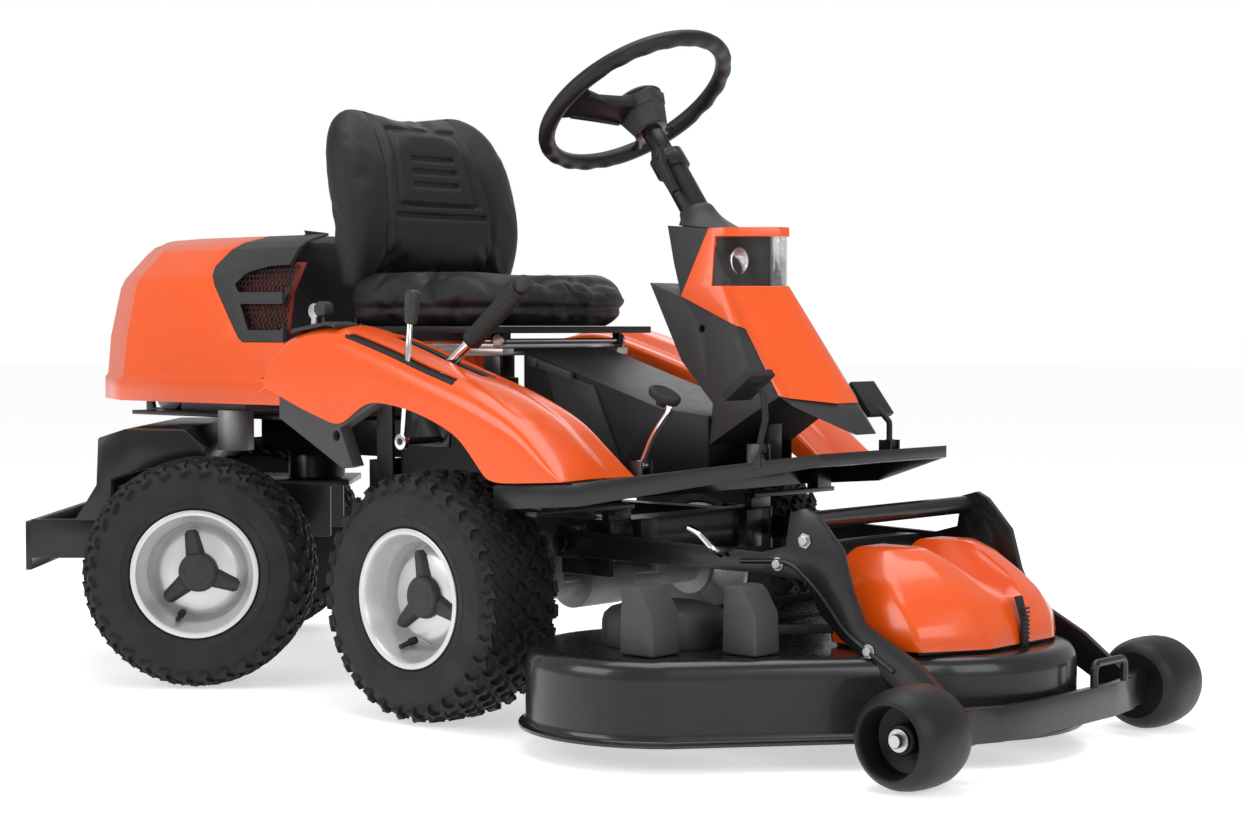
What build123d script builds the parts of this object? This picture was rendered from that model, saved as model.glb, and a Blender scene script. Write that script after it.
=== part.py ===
from build123d import *

import math
import os

os.makedirs("parts", exist_ok=True)

# Riding lawn mower with a front deck and rear wheels on a swivelling carriage.
# Millimetres, +X forward, +Y to the driver's left, +Z up, ground at z = 0.
# Everything is drawn about the ground point below the front axle, with the
# rear carriage straight. On saving, the carriage is turned to full right lock
# and the whole machine is moved so that the origin is the middle of its box.

# Driving dimensions
wheelbase = 884.0
track = 739.0
tyre_radius = 203.5
tyre_width = 165.0
rim_radius = 101.6
rim_flange_radius = 113.0
swivel_lead = 159.5
steer_lock = 41.6
body_half_width = 415.0
plate_half_width = 400.0
plate_nose_half_width = 172.0
plate_front_x = 618.0
seat_half_width = 238.0
hood_half_width = 300.0
wheel_radius_steering = 181.0
column_tilt = 35.0
blade_radius = 196.0
blade_tip_gap = 16.0
deck_rim_z = 38.0
deck_top_z = 160.0
roller_radius = 72.7
roller_track = 676.8
running_gap = 0.3
body_gap = 1.0
panel_wall = 4.0

# Derived places
pivot_x = swivel_lead - wheelbase
rear_axle_x = -wheelbase
axle_z = tyre_radius
wheel_y = track / 2
stub_radius = 14.0
middle_of_box = (155.0, 12.0)
carriage_pieces = []
chassis_pieces = []


def block(x, y, z, mode=Mode.ADD):
    """A box from its low and high x, y and z."""
    centre = [(low + high) / 2 for low, high in (x, y, z)]
    with Locations(tuple(centre)):
        Box(x[1] - x[0], y[1] - y[0], z[1] - z[0], mode=mode)


def both_sides(x, y, z, mode=Mode.ADD):
    """The same box on the left and on the right."""
    block(x, y, z, mode)
    block(x, (-y[1], -y[0]), z, mode)


def side_slab(outline, y, mode=Mode.ADD):
    """An outline of (x, z) points, solid between two y values."""
    with BuildSketch(Plane.XZ.offset(-y[1])) as profile:
        Polygon(*outline, align=None)
    extrude(to_extrude=profile.sketch, amount=y[1] - y[0], mode=mode)


def plan_slab(outline, z, mode=Mode.ADD):
    """An outline of (x, y) points, solid between two heights."""
    with BuildSketch(Plane.XY.offset(z[0])) as plan:
        Polygon(*outline, align=None)
    extrude(to_extrude=plan.sketch, amount=z[1] - z[0], mode=mode)


def rod(start, end, radius, mode=Mode.ADD):
    """A straight round bar between two points."""
    start, end = Vector(*start), Vector(*end)
    with Locations(Plane(origin=start, z_dir=end - start)):
        align = (Align.CENTER, Align.CENTER, Align.MIN)
        Cylinder(radius, (end - start).length, align=align, mode=mode)


def bent_bar(points, radius, bend):
    """A round bar through points, with a bend radius at each corner."""
    with BuildLine() as path:
        FilletPolyline(*points, radius=bend)
    start = Vector(*points[0])
    with BuildSketch(Plane(origin=start, z_dir=Vector(*points[1]) - start)) as section:
        Circle(radius)
    sweep(sections=section.sketch, path=path.line)


def stack(layers, mode=Mode.ADD):
    """A straight-sided loft through (z, outline) layers of equal point count."""
    faces = []
    for height, outline in layers:
        with BuildSketch(Plane.XY.offset(height)) as layer:
            Polygon(*outline, align=None)
        faces.append(layer.sketch)
    loft(sections=faces, ruled=True, mode=mode)


def mirrored_plan(points):
    """A closed outline from its half on the left, front to back."""
    return list(points) + [(x, -y) for x, y in reversed(points)]


def grown(layers, by):
    """Layers with every point moved away from the centre line and middle."""
    moved = []
    for height, outline in layers:
        middle = sum(x for x, _ in outline) / len(outline)
        moved.append((height, [
            (x + by * math.copysign(1, x - middle), y + by * math.copysign(1, y))
            for x, y in outline
        ]))
    return moved


def keep(builder, name, group=chassis_pieces):
    """Label a finished piece and put it with its group."""
    builder.part.label = name
    group.append(builder.part)


# Frame of the front half: two rails, cross members, the spine that carries
# the swivel, the engine plate on it, the seat posts and the step supports
rail_y = (118.0, 158.0)
rail_z = (262.0, 326.0)
rail_x = (-400.0, 250.0)
spine_z = (400.0, 468.0)
engine_plate_z = (468.0, 476.0)
swivel_pin_radius = 25.0
swivel_boss_radius = 55.0
seat_post_y = (150.0, 158.0)
seat_rail_z = 590.0
deck_arm_y = (226.0, 238.0)
deck_pivot = (150.0, 290.0)
deck_pin_radius = 10.0
hood_pin_radius = 6.0
hood_hinge = (pivot_x - 440, 512)
hood_ear_y = (84.0, 92.0)
step_support_z = (344.0, 352.0)
with BuildPart() as main_frame:
    both_sides(rail_x, rail_y, rail_z)
    block((-400, -360), (-158, 158), (rail_z[0], spine_z[0]))
    block((170, 230), (-212, 212), (rail_z[0], rail_z[1]))
    block((pivot_x - 70, -360), (-80, 80), spine_z)
    block((pivot_x - 300, pivot_x + 290), (-215, 215), engine_plate_z)
    with Locations((pivot_x, 0, spine_z[0])):
        Cylinder(swivel_boss_radius, spine_z[1] - spine_z[0],
                 align=(Align.CENTER, Align.CENTER, Align.MIN))
        Cylinder(swivel_pin_radius + running_gap, 3 * spine_z[1], mode=Mode.SUBTRACT)
    both_sides((-380, -340), seat_post_y, (rail_z[1], seat_rail_z))
    both_sides((-110, -70), seat_post_y, (rail_z[1], seat_rail_z))
    both_sides((212, 236), (158, plate_half_width - 10), step_support_z)
    both_sides((212, 228), (158, 212), (rail_z[1], step_support_z[0]))
    both_sides((deck_pivot[0] - 26, 232), (206, 212), (236, 326))
    both_sides((deck_pivot[0] - 26, deck_pivot[0] + 26), (212, deck_arm_y[0] - 1), (264, 316))
    for side in (-1, 1):
        rod((deck_pivot[0], side * 212, deck_pivot[1]),
            (deck_pivot[0], side * (deck_arm_y[1] + 8), deck_pivot[1]), deck_pin_radius)
        rod((deck_pivot[0], side * (deck_arm_y[1] + 1), deck_pivot[1]),
            (deck_pivot[0], side * (deck_arm_y[1] + 8), deck_pivot[1]), 15)
    hinge_arm = [(hood_hinge[0], hood_hinge[1] - 6), (hood_hinge[0] + 22, hood_hinge[1] - 6),
                 (hood_hinge[0] + 22, engine_plate_z[0]), (pivot_x - 300, engine_plate_z[0]),
                 (pivot_x - 300, engine_plate_z[1]), (hood_hinge[0] + 46, engine_plate_z[1]),
                 (hood_hinge[0] + 36, hood_hinge[1] + 6), (hood_hinge[0], hood_hinge[1] + 6)]
    for side in (-1, 1):
        ear = sorted((side * hood_ear_y[0], side * hood_ear_y[1]))
        side_slab(hinge_arm, ear)
        rod((hood_hinge[0], ear[0], hood_hinge[1]), (hood_hinge[0], ear[1], hood_hinge[1]), 7.5)
        rod((hood_hinge[0], side * 64, hood_hinge[1]), (hood_hinge[0], side * 98, hood_hinge[1]),
            hood_pin_radius)
keep(main_frame, "main_frame")

# Front axle tube, its brackets under the rails and its two stub shafts
stub_end_y = wheel_y + 26
with BuildPart() as front_axle:
    rod((0, -268, axle_z), (0, 268, axle_z), 30)
    for side in (-1, 1):
        rod((0, side * 260, axle_z), (0, side * 274, axle_z), 52)
        rod((0, side * 268, axle_z), (0, side * stub_end_y, axle_z), stub_radius)
    both_sides((-45, 45), (122, 150), (axle_z, rail_z[0]))
    with BuildSketch(Plane.XZ) as differential:
        with Locations((0, axle_z)):
            Circle(50)
    extrude(to_extrude=differential.sketch, amount=55, both=True)
keep(front_axle, "front_axle")

# Engine on its plate, with the oil filter hanging at the right
engine_x = (pivot_x - 290.0, pivot_x + 150.0)
engine_top = 640.0
filter_y = -250.0
filter_x = pivot_x + 62
with BuildPart() as engine_block:
    block((engine_x[0] + 60, engine_x[1]), (-150, 150), (engine_plate_z[1], 560))
    block((engine_x[0] + 90, engine_x[1] - 60), (-120, 120), (560, engine_top))
    for side in (-1, 1):
        block((engine_x[0] + 120, engine_x[0] + 240), sorted((side * 120, side * 205)), (500, 590))
        for fin in range(6):
            fin_y = side * (126 + 13 * fin)
            block((engine_x[0] + 112, engine_x[0] + 248), sorted((fin_y, fin_y + side * 5)),
                  (494, 596))
    rod((filter_x, filter_y, 412), (filter_x, filter_y, 486), 33)
    block((filter_x - 26, filter_x + 26), (filter_y, -150), (486, 504))
keep(engine_block, "engine_block")

with BuildPart() as engine_shroud:
    with Locations(((engine_x[0] + engine_x[1] + 30) / 2, 0, engine_top)):
        Cylinder(118, 60, align=(Align.CENTER, Align.CENTER, Align.MIN))
        Cylinder(80, 18, align=(Align.CENTER, Align.CENTER, Align.MIN))
keep(engine_shroud, "engine_shroud")

with BuildPart() as muffler:
    muffler_x = engine_x[0] + 24
    block((muffler_x - 40, muffler_x + 35), (-150, 150), (engine_plate_z[1], 566))
    fillet(muffler.edges().filter_by(Axis.Y), 24)
    rod((muffler_x, -176, 520), (muffler_x, -149, 520), 16)
keep(muffler, "muffler")

with BuildPart() as fuel_tank:
    block((-339, -112), (-148, 148), (rail_z[1], 520))
    fillet(fuel_tank.edges().filter_by(Axis.Z), 20)
    rod((-225, 0, 520), (-225, 0, 548), 34)
keep(fuel_tank, "fuel_tank")

# Fenders: one side outline, hollow below, open over the wheel
fender_inner_y = 250.0
fender_outline = [
    (-394, 556), (-372, 604), (-320, 630), (-236, 642), (-140, 622), (-5, 580), (80, 560),
    (182, 516), (252, 466), (316, 404), (160, 394), (128, 427), (78, 474), (-5, 504),
    (-120, 520), (-190, 474), (-345, 524),
]
fender_hollow = [
    (-388, 300), (-388, 555), (-368, 599), (-318, 624), (-236, 636), (-142, 616), (-8, 574),
    (77, 554), (178, 510), (247, 461), (300, 412), (300, 300),
]
lift_slot = ((-135, 75), (-348, -312))
height_slot = ((-186, 66), (-402, -390))
throttle_slot = ((-292, -242), (-388, -372))


def make_fender(side):
    """One fender shell with a ledge that seats it on the seat posts."""
    outer = sorted((side * fender_inner_y, side * body_half_width))
    inner = sorted((side * (fender_inner_y + panel_wall), side * (body_half_width - panel_wall)))
    with BuildPart() as fender:
        side_slab(fender_outline, outer)
        side_slab(fender_hollow, inner, Mode.SUBTRACT)
        block((-110, -70), sorted((side * seat_post_y[1], side * (fender_inner_y + 1))),
              (520, 526))
        block((-380, -340), sorted((side * seat_post_y[1], side * (fender_inner_y + 1))),
              (540, 546))
        if side < 0:
            for slot in (lift_slot, height_slot, throttle_slot):
                block(slot[0], slot[1], (500, 700), Mode.SUBTRACT)
    return fender


right_fender = make_fender(-1)
keep(right_fender, "right_fender")
left_fender = make_fender(1)
keep(left_fender, "left_fender")

# Grey trim piece below the rear of each fender
trim_outline = [
    (-190, 473), (-345, 523), (-394, 555), (-345, 484), (-184, 404), (-160, 409), (-98, 516),
    (-120, 519.3),
]
with BuildPart() as fender_trims:
    for side in (-1, 1):
        side_slab(trim_outline, sorted((side * (body_half_width - 30), side * body_half_width)))
        rod((-200, side * (body_half_width + 5), 458), (-200, side * (body_half_width - 35), 458),
            9, Mode.SUBTRACT)
keep(fender_trims, "fender_trims")

# Footplate: a six-sided tray with a folded skirt, rising to its nose, with the
# ears and pins of the three pedals
pedal_pin_radius = 4.0
pedal_places = {"reverse": (312, -230, 402), "forward": (540, -222, 436), "brake": (452, 250, 422)}
plate_rear_x = 152.0
plate_bend_x = 330.0
plate_wall = 5.0
plate_top = [(plate_rear_x, 390), (plate_bend_x, 402), (plate_front_x, 447)]
plate_low = [(plate_front_x, 428), (plate_bend_x, 366), (plate_rear_x, step_support_z[1])]


def plate_plan(inset):
    """The tray's plan, drawn in by an inset."""
    return mirrored_plan([
        (plate_front_x - inset, plate_nose_half_width - inset / 2),
        (plate_bend_x - inset / 3, plate_half_width - inset),
        (plate_rear_x + inset, plate_half_width - inset),
    ])


with BuildPart() as tray_hollow:
    side_slab([(x, z - plate_wall) for x, z in plate_top] + [
        (plate_front_x, 300), (plate_rear_x, 300)], (-plate_half_width, plate_half_width))
    plan_slab(plate_plan(plate_wall), (200, 500), Mode.INTERSECT)

with BuildPart() as footplate:
    side_slab(plate_top + plate_low, (-plate_half_width, plate_half_width))
    plan_slab(plate_plan(0), (300, 500), Mode.INTERSECT)
    add(tray_hollow.part, mode=Mode.SUBTRACT)
    both_sides((212, 236), (340, plate_half_width - 20), (step_support_z[1], 389))
    for x, y, z in pedal_places.values():
        for ear_y in (y - 12, y + 12):
            block((x - 12, x + 12), (ear_y - 2, ear_y + 2), (z - 10, z + 26))
        rod((x, y - 14, z + 18), (x, y + 14, z + 18), pedal_pin_radius)
keep(footplate, "footplate")

# Tunnel between the feet, from below the seat to the console
tunnel_half_width = 112.0
tunnel_outline = [(-58, 600), (35, 572), (250, 506), (351, 496), (351, 406), (152, 391), (-58, 391)]
tunnel_hollow = [(-70, 597), (33, 567), (248, 501), (360, 490), (360, 300), (-70, 300)]
with BuildPart() as tunnel_cover:
    side_slab(tunnel_outline, (-tunnel_half_width, tunnel_half_width))
    side_slab(tunnel_hollow, (panel_wall - tunnel_half_width, tunnel_half_width - panel_wall),
              Mode.SUBTRACT)
    both_sides((-58, 148), (tunnel_half_width, fender_inner_y - 1), (391, 395))
keep(tunnel_cover, "tunnel_cover")

# Access panel on the right of the tunnel, with its clip at the top
panel_y = -tunnel_half_width
with BuildPart() as access_panel:
    side_slab([(0, 566), (108, 540), (168, 412), (60, 400)], (panel_y - 5, panel_y))
    side_slab([(-40, 590), (60, 562), (64, 548), (-40, 576)], (panel_y - 12, panel_y - 5))
    rod((-20, panel_y - 12, 578), (-20, panel_y - 16, 578), 8)
keep(access_panel, "access_panel")

# Where the steering wheel and its column are
wheel_centre = Vector(100, 0, 1022)
column_up = Vector(-math.sin(math.radians(column_tilt)), 0, math.cos(math.radians(column_tilt)))
column_plane = Plane(origin=wheel_centre, x_dir=(0, 1, 0), z_dir=column_up)
lower_tube_radius = 24.0
upper_tube_radius = 18.0
collar_from_wheel = 118.0


def on_column(depth):
    """The point on the column's axis at a depth below the steering wheel."""
    return tuple(wheel_centre - column_up * depth)


column_depth = 304.0
lever_axis = on_column(collar_from_wheel + 15)
clamp_pin = (lever_axis[0] + 14, lever_axis[2] + 10)
tower_half_width = 16.0


def plate_z(x):
    """The height of the footplate's top in front of its bend."""
    rise = (plate_top[2][1] - plate_top[1][1]) / (plate_top[2][0] - plate_top[1][0])
    return plate_top[1][1] + rise * (x - plate_top[1][0])


tower_outline = [(256, 784), (212, 712), (290, 598), (366, 532), (366, plate_z(366)),
                 (402, plate_z(402)), (402, 540), (340, 618), (262, 668), (262, 712), (290, 784)]

# Console: dark shell behind, coloured cover in front, lamp window between.
# Both stay inside one envelope that narrows upwards and ends in a prow.
console_layers = [
    (430, mirrored_plan([(606, 40), (560, 112), (400, 112), (190, 112)])),
    (525, mirrored_plan([(546, 12), (494, 88), (440, 100), (190, 100)])),
    (704, mirrored_plan([(419, 6), (366, 66), (350, 80), (190, 80)])),
    (810, mirrored_plan([(419, 6), (366, 60), (345, 70), (190, 62)])),
]
shell_outline = [
    (226, 806), (200, 712), (280, 584), (352, 516), (352, 450), (500, 455), (596, 461),
    (556, 508), (545, 517), (478, 529), (403, 634), (270, 688), (319, 798),
]
shell_hollow = [
    (236, 796), (206, 712), (285, 588), (357, 520), (357, 440), (580, 440), (548, 502),
    (540, 510), (474, 522), (398, 628), (264, 680), (306, 790),
]
cover_outline = [
    (320, 799), (271.4, 689.4), (403.5, 635.3), (478.5, 530.3), (545, 518.4), (497, 612),
    (424, 700), (364, 705), (364, 786), (419, 784), (417, 799),
]
cover_hollow = [
    (300, 792), (262, 688), (396, 640), (470, 540), (534, 527), (491, 609), (418, 694),
    (350, 699), (350, 792),
]
cover_step = 3.0
with BuildPart() as shell_room:
    stack(grown(console_layers, -panel_wall))
with BuildPart() as shell_inside:
    side_slab(shell_hollow, (-200, 200))
    add(shell_room.part, mode=Mode.INTERSECT)
with BuildPart() as console_shell:
    side_slab(shell_outline, (-200, 200))
    stack(console_layers, Mode.INTERSECT)
    add(shell_inside.part, mode=Mode.SUBTRACT)
    rod(on_column(column_depth + 40), on_column(0), lower_tube_radius + body_gap, Mode.SUBTRACT)
keep(console_shell, "console_shell")

window_y = (-61.0, 61.0)
window_z = (708.0, 783.0)
with BuildPart() as cover_room:
    stack(grown(console_layers, cover_step - panel_wall))
with BuildPart() as cover_inside:
    side_slab(cover_hollow, (-200, 200))
    add(cover_room.part, mode=Mode.INTERSECT)
with BuildPart() as console_cover:
    side_slab(cover_outline, (-200, 200))
    stack(grown(console_layers, cover_step), Mode.INTERSECT)
    add(cover_inside.part, mode=Mode.SUBTRACT)
    block((345, 372), window_y, window_z, Mode.SUBTRACT)
keep(console_cover, "console_cover")

# Lamp window in the opening of the cover, and two round lamps behind it
lamp_y = 38.5
lamp_z = 746.0
with BuildPart() as lamp_lens:
    block((357, 361), (window_y[0] + running_gap, window_y[1] - running_gap),
          (window_z[0] + running_gap, window_z[1] - running_gap))
keep(lamp_lens, "lamp_lens")

with BuildPart() as lamp_units:
    for side in (-1, 1):
        rod((330, side * lamp_y, lamp_z), (352, side * lamp_y, lamp_z), 20)
        rod((352, side * lamp_y, lamp_z), (356, side * lamp_y, lamp_z), 17)
        block((326, 330), sorted((side * 18, side * 61)), (lamp_z - 34, lamp_z + 34))
        block((326, 356.5), sorted((side * 57, side * 61)), (lamp_z - 34, lamp_z + 34))
keep(lamp_units, "lamp_units")

# Steering column: lower tube on its tower, upper tube sliding in it
with BuildPart() as column_lower:
    rod(on_column(column_depth), on_column(collar_from_wheel), lower_tube_radius)
    rod(on_column(collar_from_wheel + 30), on_column(collar_from_wheel), 30)
    rod((clamp_pin[0], -40, clamp_pin[1]), (clamp_pin[0], -20, clamp_pin[1]), 5)
    side_slab(tower_outline, (-tower_half_width, tower_half_width))
    rod(on_column(column_depth - 8), on_column(collar_from_wheel - 10),
        upper_tube_radius + running_gap, Mode.SUBTRACT)
keep(column_lower, "column_lower")

with BuildPart() as column_upper:
    rod(on_column(column_depth - 40), on_column(62), upper_tube_radius)
    rod(on_column(62), on_column(20), 27)
keep(column_upper, "column_upper")

# Clamp lever on the collar's right side
with BuildPart() as column_clamp_lever:
    pin = clamp_pin
    side_slab([(pin[0] - 12, pin[1] + 10), (pin[0] - 11, pin[1] - 12), (pin[0] + 30, pin[1] - 64),
               (pin[0] + 44, pin[1] - 58), (pin[0] + 16, pin[1] - 12), (pin[0] + 8, pin[1] + 14)],
              (-52, -42))
    rod((pin[0], -46, pin[1]), (pin[0], -40 - running_gap, pin[1]), 8)
keep(column_clamp_lever, "column_clamp_lever")

# Steering wheel: rim, two broad spokes and a hub with its own boss
grip_radius = 14.5
spoke_angle = 35.0
spoke_spread = 280.0
with BuildPart() as steering_wheel:
    with BuildSketch(Plane(origin=wheel_centre, x_dir=(0, 1, 0), z_dir=column_plane.x_dir.cross(
            column_up) * -1)) as rim_section:
        with Locations((wheel_radius_steering - grip_radius, 0)):
            Circle(grip_radius)
    revolve(profiles=rim_section.sketch, axis=Axis(tuple(wheel_centre), tuple(column_up)))
    with BuildSketch(column_plane.offset(-20)) as spokes:
        with PolarLocations(85, 2, start_angle=spoke_angle, angular_range=spoke_spread):
            Trapezoid(64, 172, 88, rotation=90)
    extrude(to_extrude=spokes.sketch, amount=16)
    with BuildSketch(column_plane.offset(-20)) as hub:
        RegularPolygon(52, 6)
    extrude(to_extrude=hub.sketch, amount=30)
    with BuildSketch(column_plane.offset(-19.5)) as boss:
        Circle(38)
    extrude(to_extrude=boss.sketch, amount=-42, taper=8)
    rod(on_column(62 + 40), on_column(20 - running_gap), 27 + running_gap, Mode.SUBTRACT)
keep(steering_wheel, "steering_wheel")

# Controls on the right fender
key_x = -314.0
with BuildPart() as control_panel:
    side_slab([(-320, 630), (-236, 642), (-214, 637.4), (-214, 643.4), (-236, 648), (-326, 635),
               (-326, 626)], (-404, -350))
    side_slab(fender_outline, (-410, -340), Mode.SUBTRACT)
    block((-292, -242), (-388, -372), (500, 700), Mode.SUBTRACT)
    rod((key_x, -362, 636), (key_x, -362, 642), 11)
keep(control_panel, "control_panel")

with BuildPart() as ignition_key:
    block((key_x - 6, key_x + 6), (-363.5, -360.5), (642 + running_gap, 664))
    rod((key_x, -364, 666), (key_x, -360, 666), 13)
keep(ignition_key, "ignition_key")

# Lever brackets stand on the step supports and hold the pivots
lever_pivot = (-92, 520)
height_pivot = (-60, 452)
throttle_pivot = (-268, 596)
bracket_y = (-308.0, -304.0)
with BuildPart() as lever_bracket:
    block((-130, -40), bracket_y, (440, 545))
    block((-130, -100), (bracket_y[1], -seat_post_y[1]), (500, 506))
    rod((lever_pivot[0], -345, lever_pivot[1]), (lever_pivot[0], bracket_y[0], lever_pivot[1]), 7)
    rod((height_pivot[0], -402, height_pivot[1]), (height_pivot[0], bracket_y[0], height_pivot[1]),
        6)
    block((-330, -160), (-350, -346), (560, 600))
    block((-330, -318), (-346, -fender_inner_y - panel_wall), (560, 600))
    rod((throttle_pivot[0], -390, throttle_pivot[1]), (throttle_pivot[0], -350, throttle_pivot[1]),
        5)
keep(lever_bracket, "lever_bracket")

lift_angle = math.radians(32)
lift_reach = 288.0


def along_lift(distance):
    """A point on the lift lever at a distance from its pivot."""
    return (lever_pivot[0] + distance * math.cos(lift_angle), -330,
            lever_pivot[1] + distance * math.sin(lift_angle) + distance * 0.12)


with BuildPart() as lift_lever:
    rod(along_lift(0), along_lift(lift_reach - 110), 11)
    rod(along_lift(lift_reach - 140), along_lift(lift_reach - 12), 17)
    rod((lever_pivot[0], -341, lever_pivot[1]), (lever_pivot[0], -319, lever_pivot[1]), 17)
    rod((lever_pivot[0], -350, lever_pivot[1]), (lever_pivot[0], -300, lever_pivot[1]),
        7 + running_gap, Mode.SUBTRACT)
    rod(along_lift(lift_reach - 40), along_lift(lift_reach), 9 + running_gap, Mode.SUBTRACT)
keep(lift_lever, "lift_lever")

with BuildPart() as lift_button:
    rod(along_lift(lift_reach - 32), along_lift(lift_reach), 9)
    rod(along_lift(lift_reach - 5), along_lift(lift_reach + 12), 14)
keep(lift_button, "lift_button")

with BuildPart() as height_lever:
    rod((height_pivot[0] + 6, -396, height_pivot[1] + 6), (-38, -396, 655), 5)
    rod((-38.5, -396, 645), (-33, -396, 700), 13)
    fillet(height_lever.edges().sort_by(Axis.Z)[-1], 9)
    rod((height_pivot[0], -401, height_pivot[1]), (height_pivot[0], -391, height_pivot[1]), 13)
    rod((height_pivot[0], -410, height_pivot[1]), (height_pivot[0], -380, height_pivot[1]),
        6 + running_gap, Mode.SUBTRACT)
keep(height_lever, "height_lever")

with BuildPart() as throttle_lever:
    block((-271, -265), (-383, -377), (throttle_pivot[1] + 7, 664))
    block((-281, -255), (-391, -369), (658, 682))
    fillet(throttle_lever.edges().group_by(Axis.Z)[-1], 7)
    rod((throttle_pivot[0], -384, throttle_pivot[1]), (throttle_pivot[0], -376, throttle_pivot[1]),
        10)
    rod((throttle_pivot[0], -390, throttle_pivot[1]), (throttle_pivot[0], -370, throttle_pivot[1]),
        5 + running_gap, Mode.SUBTRACT)
keep(throttle_lever, "throttle_lever")

# Seat: rails on the posts, a slider, a tilting pan, cushion and back
seat_front_x = -8.0
slider_z = seat_rail_z + 12
pan_z = (628.0, 640.0)
rail_outer_y = 162.0
with BuildPart() as seat_rails:
    block((-395, -60), (-rail_outer_y, rail_outer_y), (seat_rail_z, seat_rail_z + 5))
    both_sides((-395, -60), (rail_outer_y - 28, rail_outer_y), (seat_rail_z + 5, slider_z))
keep(seat_rails, "seat_rails")

hinge_x = -75.0
seat_pin_z = slider_z + 13
with BuildPart() as seat_slider:
    both_sides((-385, -85), (rail_outer_y - 28, rail_outer_y),
               (slider_z + running_gap, slider_z + 8))
    block((-100, -85), (-rail_outer_y, rail_outer_y), (slider_z + running_gap, slider_z + 8))
    both_sides((hinge_x - 10, hinge_x + 10), (rail_outer_y - 8, rail_outer_y - 3),
               (slider_z + running_gap, seat_pin_z))
    for side in (-1, 1):
        rod((hinge_x, side * (rail_outer_y - 8), seat_pin_z),
            (hinge_x, side * (rail_outer_y - 3), seat_pin_z), pan_z[0] - seat_pin_z - 1)
    rod((hinge_x, -rail_outer_y + 3, seat_pin_z), (hinge_x, rail_outer_y - 3, seat_pin_z), 4)
keep(seat_slider, "seat_slider")

with BuildPart() as seat_pan:
    block((-429, -50), (-215, 215), pan_z)
    both_sides((hinge_x - 8, hinge_x + 8), (rail_outer_y - 16, rail_outer_y - 9),
               (slider_z + 6, pan_z[0]))
    rod((hinge_x, -200, seat_pin_z), (hinge_x, 200, seat_pin_z), 4 + running_gap, Mode.SUBTRACT)
    both_sides((-380, -350), (rail_outer_y - 28, rail_outer_y - 4),
               (slider_z + 8 + running_gap, pan_z[0]))
keep(seat_pan, "seat_pan")

cushion_top = 728.0
with BuildPart() as seat_cushion:
    with BuildSketch(Plane.XY.offset(pan_z[1])) as cushion_plan:
        Polygon(*mirrored_plan([(seat_front_x, 95), (seat_front_x - 60, seat_half_width - 18),
                                (-150, seat_half_width), (-415, seat_half_width),
                                (-440, seat_half_width - 40)]), align=None)
        fillet(cushion_plan.vertices(), 22)
    extrude(to_extrude=cushion_plan.sketch, amount=cushion_top - pan_z[1])
    fillet(seat_cushion.edges().group_by(Axis.Z)[-1], 26)
keep(seat_cushion, "seat_cushion")

back_outline = [(-362, 732), (-400, 700), (-462, 730), (-505, 1020), (-494, 1046), (-466, 1046),
                (-446, 1010), (-400, 860)]
with BuildPart() as seat_back:
    with BuildSketch(Plane.XZ.offset(-seat_half_width)) as back_side:
        Polygon(*back_outline, align=None)
    extrude(to_extrude=back_side.sketch, amount=2 * seat_half_width)
    with BuildSketch(Plane.YZ.offset(-600)) as back_front:
        Polygon((-150, 1046), (-205, 1030), (-222, 940), (-seat_half_width, 850),
                (-seat_half_width, 700), (seat_half_width, 700), (seat_half_width, 850),
                (222, 940), (205, 1030), (150, 1046), align=None)
    extrude(to_extrude=back_front.sketch, amount=400, mode=Mode.INTERSECT)
    block((-500, -380), (-180, 180), (pan_z[1], cushion_top - 1), Mode.SUBTRACT)
    block((-600, -300), (-300, 300), (600, cushion_top + body_gap), Mode.SUBTRACT)
    both_sides((-462, -443), (120, 160), (pan_z[0], 760))
    both_sides((-443, -429), (120, 160), (pan_z[0], pan_z[1] - 2))
keep(seat_back, "seat_back")

# Pedals turn on the pins of their brackets
def pedal_hub(place):
    """The hub that turns on a pedal bracket's pin."""
    x, y, z = place
    rod((x, y - 9, z + 18), (x, y + 9, z + 18), 9)


def pedal_bore(place):
    """The hole through a pedal's hub."""
    x, y, z = place
    rod((x, y - 20, z + 18), (x, y + 20, z + 18), pedal_pin_radius + running_gap, Mode.SUBTRACT)


with BuildPart() as reverse_pedal:
    pedal_hub(pedal_places["reverse"])
    bent_bar([(314, -230, 424), (338, -230, 470), (372, -229, 512), (366, -230, 530)], 5, 12)
    with Locations(Plane(origin=(358, -230, 530), z_dir=(0.5, 0, 0.86))):
        Cylinder(26, 14)
    pedal_bore(pedal_places["reverse"])
keep(reverse_pedal, "reverse_pedal")

with BuildPart() as forward_pedal:
    pedal_hub(pedal_places["forward"])
    bent_bar([(541, -222, 458), (552, -221, 500), (540, -210, 540), (512, -204, 552)], 5, 14)
    with Locations(Plane(origin=(506, -204, 550), z_dir=(-0.62, 0, 0.78))):
        Box(62, 62, 12)
    pedal_bore(pedal_places["forward"])
keep(forward_pedal, "forward_pedal")

with BuildPart() as brake_pedal:
    pedal_hub(pedal_places["brake"])
    bent_bar([(452, 250, 442), (452, 250, 478), (424, 250, 505)], 5, 10)
    side_slab([(430, 486), (438, 492), (396, 546), (388, 540)], (216, 284))
    pedal_bore(pedal_places["brake"])
keep(brake_pedal, "brake_pedal")

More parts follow.
